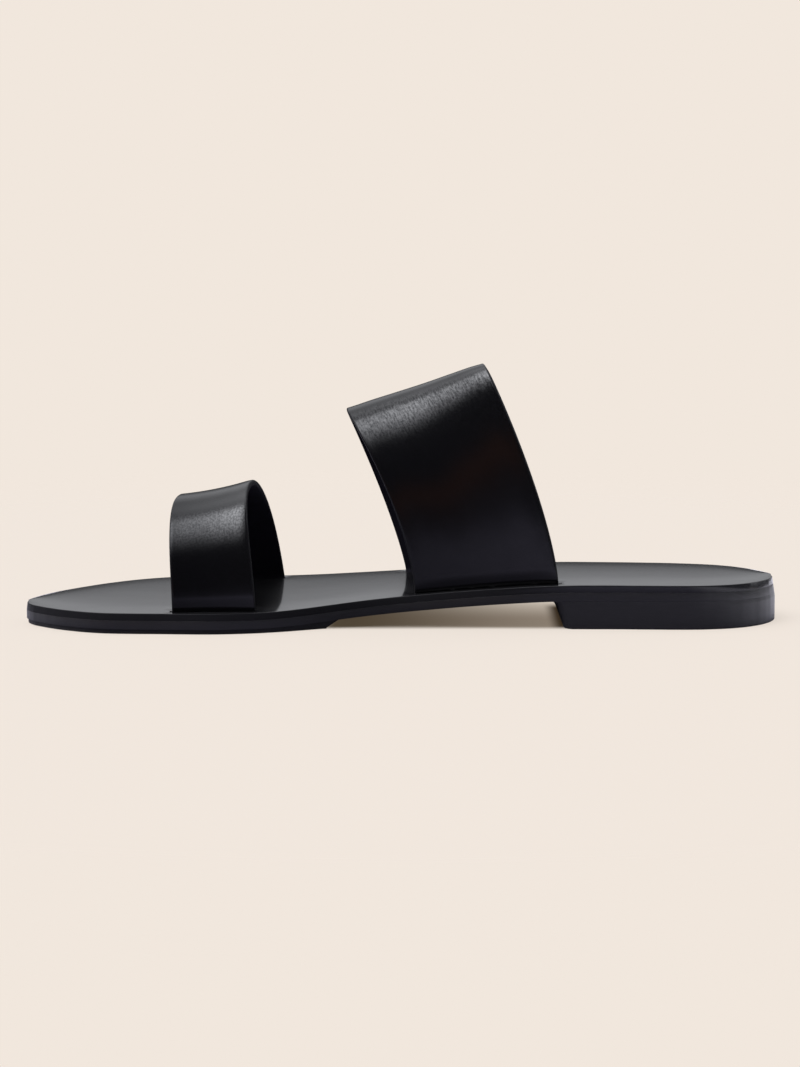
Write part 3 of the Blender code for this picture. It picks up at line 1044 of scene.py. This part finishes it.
    def outward(self, shares: Array, steps: Array, centre: Array) -> Array:
        """Find the outward normals of the middle sheet.

        Args:
            shares: Shares of the strap's width.
            steps: Places on the dense arch, as fractions.
            centre: The sheet's points by step and share.

        Returns:
            The cross product of the sheet's two directions, at unit length.
        """
        across = self.sheet(shares + self.probe, steps) - self.sheet(shares - self.probe, steps)
        normal = np.cross(across.transpose(1, 0, 2), np.gradient(centre, axis=0))
        return normal / np.linalg.norm(normal, axis=-1, keepdims=True)

    def shoulder_grain(self, placed: Array) -> Array:
        """Return the strength of the grain: full on the shoulder, eased to none at its ends."""
        start, full, fading, end = self.shoulder
        return ease((placed - start) / (full - start)) * ease((end - placed) / (end - fading))

    def build(self) -> bpy.types.Object:
        """Make the strap: its section carried along the sheet, moved by the creases and the roll.

        Returns:
            The dressed piece.
        """
        steps = self.even_steps()
        tail_rows = self.bend_steps + 2
        arch = self.sheet(np.array([0.5]), steps)[0, tail_rows:-tail_rows]
        length = float(np.linalg.norm(np.diff(arch, axis=0), axis=1).sum())
        slot = self.slot(Side.MEDIAL)
        width = float(np.linalg.norm(slot.rear - slot.front))
        shares, levels, rims = self.section_loop(width)
        centre = self.sheet(shares, steps).transpose(1, 0, 2)
        along = (np.arange(len(centre)) - tail_rows)[:, None] * length / self.arch_steps
        across = (shares * width)[None, :]
        from_slot = np.maximum(np.minimum(along, length - along), 0.0)
        held = ease(from_slot / self.skive_length)
        fold = self.creased(along, across, length, width) * held + self.rolled(from_slot)
        half = self.half_thickness(length, tail_rows)[:, None]
        normal = self.outward(shares, steps, centre)
        points = centre + normal * (half * levels + fold)[..., None]
        lay = (along / MM, across / MM, levels * self.flesh_gap_mm)
        marks = {
            "lay": np.stack(np.broadcast_arrays(*lay), axis=-1),
            "inner": np.clip(-levels, 0.0, 1.0),
            "rim": rims,
            "grain": self.shoulder_grain(from_slot / length),
            "across": shares,
        }
        spread = points.shape[:2]
        marks = {
            name: mark if mark.ndim == 3 else np.broadcast_to(mark, spread)
            for name, mark in marks.items()
        }
        ends = points[[0, -1]].mean(axis=1, keepdims=True) + 0.0 * points[[0, -1]]
        closed = np.concatenate([ends[:1], points, ends[1:]])
        marks = {name: np.concatenate([mark[:1], mark, mark[-1:]]) for name, mark in marks.items()}
        skin = Skin()
        skin.grid(closed, wrap=True, **marks)
        return dressed(skin.make(self.name), self.finish.material(), self.node)


def dressed(
    obj: bpy.types.Object, material: bpy.types.Material, node: str
) -> bpy.types.Object:
    """Give a piece its finish and its place in the frame.

    Args:
        obj: The piece.
        material: Its finish.
        node: The CAD node that it stands for.

    Returns:
        The piece.
    """
    obj.data.materials.append(material)
    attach(obj, "root")
    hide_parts(node)
    LOG.info("%s: %d faces", obj.name, len(obj.data.polygons))
    return obj


def rounded_edge(thickness: float, top_radius: float, bottom_radius: float, steps: int) -> Array:
    """Return a layer's edge profile: two quarter rounds with a square wall between.

    Args:
        thickness: The layer's thickness.
        top_radius: Radius of the upper round.
        bottom_radius: Radius of the lower round.
        steps: Steps in each round.

    Returns:
        Rows of inset and drop, from bottom to top.
    """
    turns = np.linspace(0.0, 0.5 * np.pi, steps + 1)
    rising = 1.0 - np.cos(turns)
    falling = 1.0 - np.sin(turns)
    lower = np.stack([bottom_radius * falling, thickness - bottom_radius * rising], axis=1)
    upper = np.stack([top_radius * rising, top_radius * falling], axis=1)
    return np.concatenate([lower, upper])


@dataclass
class Insole:
    """The leather footbed, with slots for the straps and a slight crown across."""

    sole: SoleForm
    slots: list[Slot]
    finish: FootbedLeather
    thickness: float = 2.38 * MM
    top_radius: float = 0.28 * MM
    bottom_radius: float = 0.03 * MM
    lean: float = 0.12
    lean_fade: Span = (0.50, 0.74)
    crown: float = 0.45 * MM
    margin: float = 16.0 * MM
    margin_drop: float = 0.22 * MM
    slot_half: float = 1.0 * MM
    slot_end: float = 0.3 * MM
    slot_depth: float = 2.0 * MM
    slot_blur: float = 0.35 * MM
    pull_depth: float = 0.22 * MM
    pull_reach: float = 3.0 * MM
    seam_margin: float = 0.5 * MM
    edge_start: float = 0.16
    edge_steps: int = 7
    lines_outside: tuple[float, float, int] = (0.0, 2.75 * MM, 6)
    lines_at_slots: tuple[float, float, int] = (3.0 * MM, 7.25 * MM, 18)
    lines_under: tuple[float, float, int] = (0.0, 2.0 * MM, 2)

    def slot_dip(self, plan: Array) -> Array:
        """Sink the slots, and the leather pulled in round them, below the top.

        Args:
            plan: X and Y of the points.

        Returns:
            How far each point sinks.
        """
        dip = np.zeros(plan.shape[:-1])
        for slot in self.slots:
            past, inward = slot.distances(plan)
            outside = np.maximum(past - self.slot_end, np.abs(inward) - self.slot_half)
            cut = self.slot_depth * (1.0 - ease(outside / self.slot_blur + 0.5))
            pull = self.pull_depth * (1.0 - ease(outside / self.pull_reach))
            dip = np.maximum(dip, np.maximum(cut, pull))
        return dip

    def build(self) -> bpy.types.Object:
        """Make the insole: edge profile, top sheet and underside.

        The top is the footbed plus a parabola across and a quarter parabola in from each edge.

        Returns:
            The dressed piece.
        """
        sole = self.sole
        profile = rounded_edge(self.thickness, self.top_radius, self.bottom_radius, self.edge_steps)
        drop = profile[:, 1:]
        station = 0.5 * (1.0 - np.cos(sole.ring_angles()))
        start, end = self.lean_fade
        lean = self.lean * (1.0 - ease((station - start) / (end - start)))
        rings = sole.rings(profile, sole.footbed, 0.0, lean * (self.thickness - drop))
        edge = np.broadcast_to(ease(drop / (self.edge_start * self.top_radius)), rings.shape[:2])
        skin = Skin()
        skin.grid(rings, wrap=True, edge=edge)
        lines = (self.lines_outside, self.lines_at_slots)
        plan, shares = sole.across(rings[-1], np.concatenate([np.linspace(*line) for line in lines]))
        width = np.linalg.norm(plan[:, -1] - plan[:, 0], axis=-1)[:, None]
        from_edge = np.minimum(shares, 1.0 - shares) * width
        inside = np.minimum(from_edge / self.margin, 1.0)
        swell = self.crown * (1.0 - (2.0 * shares - 1.0) ** 2)
        swell = swell + self.margin_drop * (1.0 - (1.0 - inside) ** 2)
        dip = self.slot_dip(plan) * ease(from_edge / self.seam_margin)
        top = sole.footbed(plan[..., 0]) + swell - dip
        skin.grid(raised(plan, top), edge=np.zeros_like(top))
        plan, _ = sole.across(rings[0], np.linspace(*self.lines_under))
        under = sole.footbed(plan[..., 0]) - self.thickness
        skin.grid(raised(plan, under), edge=np.ones_like(under))
        obj = skin.make("insole_leather")
        return dressed(obj, self.finish.material(), "insole")


@dataclass
class Outsole:
    """The leather sole under the insole, with shallow pockets for the tucked strap tails."""

    sole: SoleForm
    slots: list[Slot]
    finish: EdgeLeather
    top_depth: float = 2.40 * MM
    thickness: float = 2.83 * MM
    radius: float = 0.03 * MM
    pocket_depth: float = 1.35 * MM
    pocket_outer: float = 1.0 * MM
    pocket_inner: float = 12.3 * MM
    pocket_end: float = 0.3 * MM
    pocket_blur: float = 0.8 * MM
    edge_steps: int = 4
    lines_above: tuple[float, float, int] = (0.0, 8.0 * MM, 17)
    lines_under: tuple[float, float, int] = (0.0, 1.0 * MM, 2)

    def pockets(self, plan: Array) -> Array:
        """Sink the pockets below the sole's upper face.

        Args:
            plan: X and Y of the points.

        Returns:
            How far each point sinks.
        """
        dip = np.zeros(plan.shape[:-1])
        for slot in self.slots:
            past, inward = slot.distances(plan)
            sideways = np.maximum(inward - self.pocket_inner, -inward - self.pocket_outer)
            outside = np.maximum(past - self.pocket_end, sideways)
            cut = self.pocket_depth * (1.0 - ease(outside / self.pocket_blur + 0.5))
            dip = np.maximum(dip, cut)
        return dip

    def top(self, x: Array) -> Array:
        """Return the height of the upper face."""
        return self.sole.footbed(x) - self.top_depth

    def build(self) -> bpy.types.Object:
        """Make the outsole: edge profile, upper face with pockets, and underside.

        Returns:
            The dressed piece.
        """
        profile = rounded_edge(self.thickness, self.radius, self.radius, self.edge_steps)
        rings = self.sole.rings(profile, self.top, self.top_depth)
        skin = Skin()
        skin.grid(rings, wrap=True)
        plan, _ = self.sole.across(rings[-1], np.linspace(*self.lines_above))
        skin.grid(raised(plan, self.top(plan[..., 0]) - self.pockets(plan)))
        plan, _ = self.sole.across(rings[0], np.linspace(*self.lines_under))
        skin.grid(raised(plan, self.top(plan[..., 0]) - self.thickness))
        obj = skin.make("outsole_leather")
        return dressed(obj, self.finish.material(), "outsole")


def body_between(medial: Array, lateral: Array, columns: int) -> Skin:
    """Close a stack of open rims into a body.

    Args:
        medial: Points by level and place, along the medial side from front to back.
        lateral: The same on the lateral side.
        columns: Columns of points across the front and the two caps.

    Returns:
        The skin: the front wall, which is marked, both sides, and caps of the first and last level.
    """
    shares = np.linspace(0.0, 1.0, columns + 1)[:, None]
    front = lateral[:, :1] + (medial[:, :1] - lateral[:, :1]) * shares
    caps = [rim[0][:, None] + (rim[1] - rim[0])[:, None] * shares for rim in zip(medial, lateral)]
    skin = Skin()
    skin.grid(front, front=np.ones(front.shape[:2]))
    for plain in (medial, lateral, caps[0], caps[-1]):
        skin.grid(plain, front=np.zeros(plain.shape[:2]))
    return skin


@dataclass
class HalfSole:
    """The thin rubber tread under the forefoot, with a slanted rear end."""

    sole: SoleForm
    finish: TreadRubber
    setback: float = 0.5 * MM
    radius: float = 0.3 * MM
    end_bottom: float = 0.402
    end_top: float = 0.418
    top_depth: float = 5.25 * MM
    stations: int = 260
    levels: int = 6
    columns: int = 24

    def build(self) -> bpy.types.Object:
        """Make the tread between its level underside and the outsole.

        Returns:
            The dressed piece.
        """
        turns = np.linspace(0.0, 0.5 * np.pi, self.levels)
        inset = np.append(self.setback + self.radius * (1.0 - np.sin(turns)), self.setback)
        share = np.append(0.0 * turns, 1.0)
        drop = np.append(self.radius * (1.0 - np.cos(turns)), 0.0)
        end = self.end_bottom + (self.end_top - self.end_bottom) * share
        angles = np.linspace(0.0, 1.0, self.stations + 1) * self.sole.angle(end)[:, None]
        sides = []
        for around in (angles, TURN - angles):
            plan = self.sole.rim(around, inset[:, None], np.zeros((1, 1)))
            plan[:, -1, 0] = self.sole.x_at(end)
            x = plan[..., 0]
            low = self.sole.lift(x) + drop[:, None]
            high = self.sole.footbed(x) - self.top_depth
            height = low + (high - low) * share[:, None]
            sides.append(raised(plan, height)[:, ::-1])
        obj = body_between(*sides, self.columns).make("half_sole_rubber")
        return dressed(obj, self.finish.material(), "half_sole")


@dataclass
class Heel:
    """The low heel block: slanted breast with a small cove on top, back flaring to the floor."""

    sole: SoleForm
    finish: EdgeLeather
    breast_top: float = 0.702
    breast_bottom: float = 0.716
    corner: float = 3.0 * MM
    cove: float = 1.6 * MM
    radius: float = 0.45 * MM
    top_depth: float = 5.25 * MM
    corner_steps: int = 12
    edge_steps: int = 6
    stations: int = 150
    levels: int = 30
    columns: int = 30

    def breast(self, height: Array, inset: Array) -> Array:
        """Shape the breast: a slant that ends in a quarter-round cove under the outsole.

        Args:
            height: Height of each level.
            inset: How far the lower edge's rounding sets each level in.

        Returns:
            The breast's station at each level.
        """
        block = self.sole.heel_seat - self.top_depth
        slant = self.breast_bottom + (self.breast_top - self.breast_bottom) * height / block
        into_cove = np.clip((height - block + self.cove) / self.cove, 0.0, 1.0)
        hollow = self.cove * (1.0 - np.sqrt(1.0 - into_cove**2))
        return slant + (inset - hollow) / self.sole.length

    def build(self) -> bpy.types.Object:
        """Make the heel from the floor up to the outsole.

        Returns:
            The dressed piece.
        """
        block = self.sole.heel_seat - self.top_depth
        turns = np.linspace(0.0, 0.5 * np.pi, self.edge_steps + 1)
        wall = np.linspace(self.radius, block, self.levels + 1)[1:]
        height = np.concatenate([self.radius * (1.0 - np.cos(turns)), wall])
        inset = np.concatenate([self.radius * (1.0 - np.sin(turns)), np.zeros(self.levels)])
        bend = np.linspace(0.0, 0.5 * np.pi, self.corner_steps + 1)
        rounding = self.corner / self.sole.length * (1.0 - np.cos(bend))
        corner = self.breast(height, inset)[:, None] + rounding
        start = self.sole.angle(corner[:, -1:])
        rest = start + (np.pi - start) * np.linspace(0.0, 1.0, self.stations + 1)[1:]
        angles = np.concatenate([self.sole.angle(corner), rest], axis=1)
        pulled = np.zeros(angles.shape[1])
        pulled[: self.corner_steps + 1] = self.corner * (1.0 - np.sin(bend))
        depth = (self.sole.heel_seat - height)[:, None]
        sides = []
        for around, side in ((angles, Side.MEDIAL), (TURN - angles, Side.LATERAL)):
            plan = self.sole.rim(around, inset[:, None], depth)
            plan[..., 1] += side.value * pulled
            rise = np.broadcast_to(height[:, None], plan.shape[:2]).copy()
            rise[-1] = self.sole.footbed(plan[-1, :, 0]) - self.top_depth
            sides.append(raised(plan, rise))
        obj = body_between(*sides, self.columns).make("heel_block")
        return dressed(obj, self.finish.material(), "heel")


@dataclass(frozen=True)
class Studio:
    """Plain soft studio light, a pale floor and the camera."""

    paper: Triple = (0.879, 0.799, 0.723)
    paper_glow: Triple = (0.680, 0.614, 0.555)
    # Painted shade under the arch, lighter towards the heel, and a painted shadow beside the heel's
    # breast, as emission colours on the floor, with the stops of their masks.
    arch_painted_shade: Triple = (0.080, 0.060, 0.038)
    heel_painted_shade_near: Triple = (0.258, 0.210, 0.166)
    heel_painted_shade_far: Triple = (0.520, 0.455, 0.384)
    breast_painted_shadow: Triple = (0.040, 0.026, 0.014)
    breast_reach: Span = (0.0480, 0.0530)
    breast_depth: Span = (0.012, 0.024)
    arch_span: Stops = (-0.034, -0.022, 0.053, 0.062)
    arch_width: Stops = (-0.034, -0.026, 0.026, 0.046)
    arch_depth: Span = (-0.014, 0.030)
    arch_rise: Span = (-0.02, 0.06)
    floor_albedo: Triple = (0.110, 0.101, 0.090)
    # Floor colour that only reflections see, with painted shade near the shoe and at the waist.
    floor_bounce: Triple = (0.375, 0.355, 0.460)
    # Painted light: the reflected floor is brighter past the heel, and less so past the toe.
    floor_painted_light: Triple = (0.94, 0.92, 1.0)
    painted_light_reach: Span = (0.10, 0.17)
    toe_painted_light: float = 0.45
    near_shade: float = 0.55
    waist_shade: float = 0.28
    waist_span: Stops = (-0.035, -0.005, 0.030, 0.056)
    near_reach: Span = (0.07, 0.17)
    key: float = 10.2
    key_band_deg: Stops = (36.0, 74.0, 88.0, 107.0)
    key_window: Stops = (-1.00, -0.36, -0.26, 0.10)
    top: float = 1.9
    top_band_deg: Stops = (90.0, 108.0, 116.0, 148.0)
    back: float = 0.56
    back_band_deg: Stops = (125.0, 150.0, 164.0, 177.5)
    side: float = 0.15
    side_reach: Span = (0.30, 0.70)
    ember: Triple = (0.34, 0.090, 0.0)
    ember_band_deg: Stops = (0.5, 3.5, 4.5, 10.0)
    ember_reach: Span = (0.05, 0.20)
    ground_band_deg: Stops = (-165.0, -140.0, -40.0, -14.0)
    dark: float = 0.06
    tint: Triple = (0.980, 0.990, 1.028)
    target: Triple = (-0.7 * MM, -8.0 * MM, 28.5 * MM)
    distance: float = 1.0
    elevation_deg: float = 7.5
    focal_px: float = 2982.0
    frame_px: float = 1067.0
    sensor_mm: float = 36.0
    clip: Span = (0.05, 50.0)
    floor_radius: float = 2.5
    floor_fade: Span = (0.30, 0.46)
    floor_rings: int = 25
    floor_spokes: int = 96

    def band(self, value: Socket, stops: Stops) -> Socket:
        """Return 1 between the middle stops, eased to 0 at the outer ones."""
        return value.eased(stops[0], stops[1]) * (1.0 - value.eased(stops[2], stops[3]))

    def light(self) -> None:
        """Light the scene by direction, with angles measured over the shoe from the camera's side.

        A softbox hangs over the near side, the ceiling and the back wall are dimmer, and the
        camera's side is dark but for a faint warm glow. The camera itself sees plain paper.
        """
        world = bpy.data.worlds.new("studio")
        bpy.context.scene.world = world
        world.use_nodes = True
        shader = ShaderTree(world.node_tree)
        way = shader.node("ShaderNodeTexCoord", output="Generated")
        x = shader.node("ShaderNodeSeparateXYZ", inputs={0: way})
        tilt = x.maths("ARCTAN2", x.part("Z"), 0.0 - x.part("Y")) * (180.0 / math.pi)
        key = self.band(tilt, self.key_band_deg) * self.band(x, self.key_window)
        top = self.band(tilt, self.top_band_deg)
        back = self.band(tilt, self.back_band_deg)
        side = x.eased(*self.side_reach)
        ember = self.band(tilt, self.ember_band_deg) * (0.0 - x).eased(*self.ember_reach)
        ground = self.band(tilt, self.ground_band_deg)
        grey = key * self.key + top * self.top + back * self.back + side * self.side + self.dark
        hues = zip(self.tint, self.ember, self.paper)
        channels = [grey * tint + ember * warm + ground * pale for tint, warm, pale in hues]
        sky = shader.node("ShaderNodeCombineColor", inputs=dict(enumerate(channels)))
        camera = shader.node("ShaderNodeLightPath", output="Is Camera Ray")
        shown = shader.mixed(camera, sky, self.paper)
        background = shader.node("ShaderNodeBackground", inputs={"Color": shown, "Strength": 1.0})
        shader.node("ShaderNodeOutputWorld", inputs={"Surface": background})

    def floor_shown(self, shader: ShaderTree, x: Socket) -> Socket:
        """Make the floor that the camera sees: glowing paper with a painted soft shade under the arch
        and a painted shadow beside the heel's breast.

        Args:
            shader: The floor's tree.
            x: The floor's X, whose node also gives Y.

        Returns:
            The shader.
        """
        y = x.part("Y")
        # Painted shade under the arch, lighter towards the heel, and a painted shadow beside the
        # heel's breast.
        rise = x.eased(*self.arch_rise)
        near = shader.mixed(rise, self.arch_painted_shade, self.heel_painted_shade_near)
        deep = shader.mixed(rise, self.arch_painted_shade, self.heel_painted_shade_far)
        open_arch = shader.mixed(y.eased(*self.arch_depth), near, deep)
        beside = x.eased(*self.breast_reach) * (1.0 - y.eased(*self.breast_depth))
        under = shader.mixed(beside, open_arch, self.breast_painted_shadow)
        arch = self.band(x, self.arch_span) * self.band(y, self.arch_width)
        shade = shader.mixed(arch, self.paper_glow, under)
        matt = shader.node("ShaderNodeBsdfDiffuse", inputs={"Color": (*self.floor_albedo, 1.0)})
        glow_with_painted_shade = shader.node("ShaderNodeEmission", inputs={"Color": shade, "Strength": 1.0})
        return shader.node("ShaderNodeAddShader", inputs={0: matt, 1: glow_with_painted_shade})

    def floor_reflected(self, shader: ShaderTree, x: Socket) -> Socket:
        """Make the floor that the leather reflects: cool, with painted shade near the shoe and at the
        waist, and painted light past its ends.

        Args:
            shader: The floor's tree.
            x: The floor's X, whose node also gives Y.

        Returns:
            The shader.
        """
        # Painted shade on the reflected floor: darker near the shoe, and darker still beside the
        # waist.
        far = (0.0 - x.part("Y")).eased(*self.near_reach)
        waist = self.band(x, self.waist_span) * (1.0 - far)
        lit = self.near_shade + far * (1.0 - self.near_shade) - waist * self.waist_shade
        front = shader.mixed(lit, (0.0, 0.0, 0.0), self.floor_bounce)
        # Painted light on the reflected floor past the heel, and weaker past the toe.
        painted_light = x.eased(*self.painted_light_reach) + (0.0 - x).eased(*self.painted_light_reach) * self.toe_painted_light
        bounce = shader.mixed(painted_light, front, self.floor_painted_light)
        return shader.node("ShaderNodeBsdfDiffuse", inputs={"Color": bounce})

    def floor(self) -> None:
        """Lay a round pale floor that fades into the backdrop."""
        radii = np.linspace(0.0, self.floor_radius, self.floor_rings + 1)[:, None]
        angles = np.linspace(0.0, TURN, self.floor_spokes, endpoint=False)
        plan = np.stack([radii * np.cos(angles), radii * np.sin(angles)], axis=-1)
        skin = Skin()
        skin.grid(raised(plan, np.zeros(plan.shape[:2])), wrap=True)
        obj = skin.make("studio_floor")
        material, shader = new_material("pale paper")
        place = shader.node("ShaderNodeTexCoord", output="Object")
        measure = {"operation": "LENGTH"}
        away = shader.node("ShaderNodeVectorMath", measure, {0: place}, output="Value")
        x = shader.node("ShaderNodeSeparateXYZ", inputs={0: place})
        camera = shader.node("ShaderNodeLightPath", output="Is Camera Ray")
        layers = {0: camera, 1: self.floor_reflected(shader, x), 2: self.floor_shown(shader, x)}
        paper = shader.node("ShaderNodeMixShader", inputs=layers)
        clear = shader.node("ShaderNodeBsdfTransparent")
        layers = {0: away.eased(*self.floor_fade), 1: paper, 2: clear}
        fading = shader.node("ShaderNodeMixShader", inputs=layers)
        shader.node("ShaderNodeOutputMaterial", inputs={"Surface": fading})
        obj.data.materials.append(material)

    def camera(self) -> None:
        """Place the camera at the photograph's viewing angle."""
        data = bpy.data.cameras.new("camera")
        data.sensor_width = self.sensor_mm
        data.lens = self.focal_px * self.sensor_mm / self.frame_px
        data.clip_start, data.clip_end = self.clip
        tilt = math.radians(self.elevation_deg)
        obj = bpy.data.objects.new("camera", data)
        bpy.context.scene.collection.objects.link(obj)
        obj.location = (
            self.target[0],
            self.target[1] - self.distance * math.cos(tilt),
            self.target[2] + self.distance * math.sin(tilt),
        )
        obj.rotation_euler = (0.5 * math.pi - tilt, 0.0, 0.0)
        bpy.context.scene.camera = obj

    def build(self) -> None:
        """Set up camera, floor and light, with colours shown as they are."""
        self.camera()
        self.floor()
        self.light()
        bpy.context.scene.view_settings.view_transform = "Standard"


def front_strap(sole: SoleForm) -> Strap:
    """Describe the narrow strap over the toes.

    Args:
        sole: The sole that it stands on.

    Returns:
        The strap.
    """
    return Strap(
        name="front_strap_leather",
        node="front_strap",
        sole=sole,
        finish=StrapLeather(
            name="front strap leather",
            polish=(0.23, 0.75),
            streak_gloss=0.32,
            pore_gloss=0.90,
        ),
        front=StrapSection(0.2005, 0.2275, 0.2005, 0.479, 0.42, 1.5, 1.0),
        middle=StrapSection(0.2555, 0.2825, 0.2505, 0.505, 0.42, 1.5, 1.0),
        rear=StrapSection(0.3095, 0.3365, 0.2998, 0.550, 0.42, 1.5, 1.0),
        medial_fullness=2.5,
        lateral_fullness=2.0,
        creases=(
            Crease(0.35, 1.0, 40.0 * MM, 1.6 * MM, -0.20 * MM),
            Crease(0.24, 0.30, 9.0 * MM, 6.0 * MM, 0.06 * MM, 20.0),
        ),
        roll=0.25 * MM,
        roll_foot=0.8 * MM,
        roll_fade=6.0 * MM,
        edge_radius=0.80 * MM,
        shoulder=(0.13, 0.17, 0.285, 0.305),
    )


def rear_strap(sole: SoleForm) -> Strap:
    """Describe the wide strap over the instep.

    Args:
        sole: The sole that it stands on.

    Returns:
        The strap.
    """
    return Strap(
        name="rear_strap_leather",
        node="rear_strap",
        sole=sole,
        finish=StrapLeather(
            name="rear strap leather",
            polish=(0.40, 0.82),
            streak_gloss=1.15,
            pore_gloss=0.70,
        ),
        front=StrapSection(0.5190, 0.5075, 0.4268, 0.838, 0.52, 1.53, 1.25),
        middle=StrapSection(0.6140, 0.6030, 0.5194, 0.909, 0.49, 1.44, 1.25),
        rear=StrapSection(0.7090, 0.6985, 0.6120, 1.013, 0.34, 1.38, 1.25),
        medial_fullness=2.7,
        lateral_fullness=2.2,
        creases=(
            Crease(0.33, 0.50, 26.0 * MM, 6.0 * MM, -0.20 * MM, 8.0),
            Crease(0.36, 0.0, 48.0 * MM, 7.0 * MM, -0.60 * MM),
            Crease(0.36, 1.0, 48.0 * MM, 3.2 * MM, -0.40 * MM),
        ),
        roll=0.60 * MM,
        roll_foot=0.7 * MM,
        roll_fade=12.0 * MM,
        edge_radius=0.70 * MM,
        shoulder=(0.31, 0.35, 0.435, 0.462),
    )


def main() -> None:
    """Build the studio and every piece of the sandal in order."""
    logging.basicConfig(level=logging.INFO, format="%(name)s: %(message)s")
    Studio().build()
    sole = SoleForm()
    straps = [front_strap(sole), rear_strap(sole)]
    slots = [strap.slot(side) for strap in straps for side in Side]
    pieces = [
        Insole(sole, slots, FootbedLeather("footbed leather")),
        Outsole(sole, slots, EdgeLeather("sole edge leather")),
        HalfSole(sole, TreadRubber("tread rubber")),
        Heel(sole, EdgeLeather("heel leather")),
        *straps,
    ]
    for piece in pieces:
        piece.build()


if __name__ == "__main__":
    main()
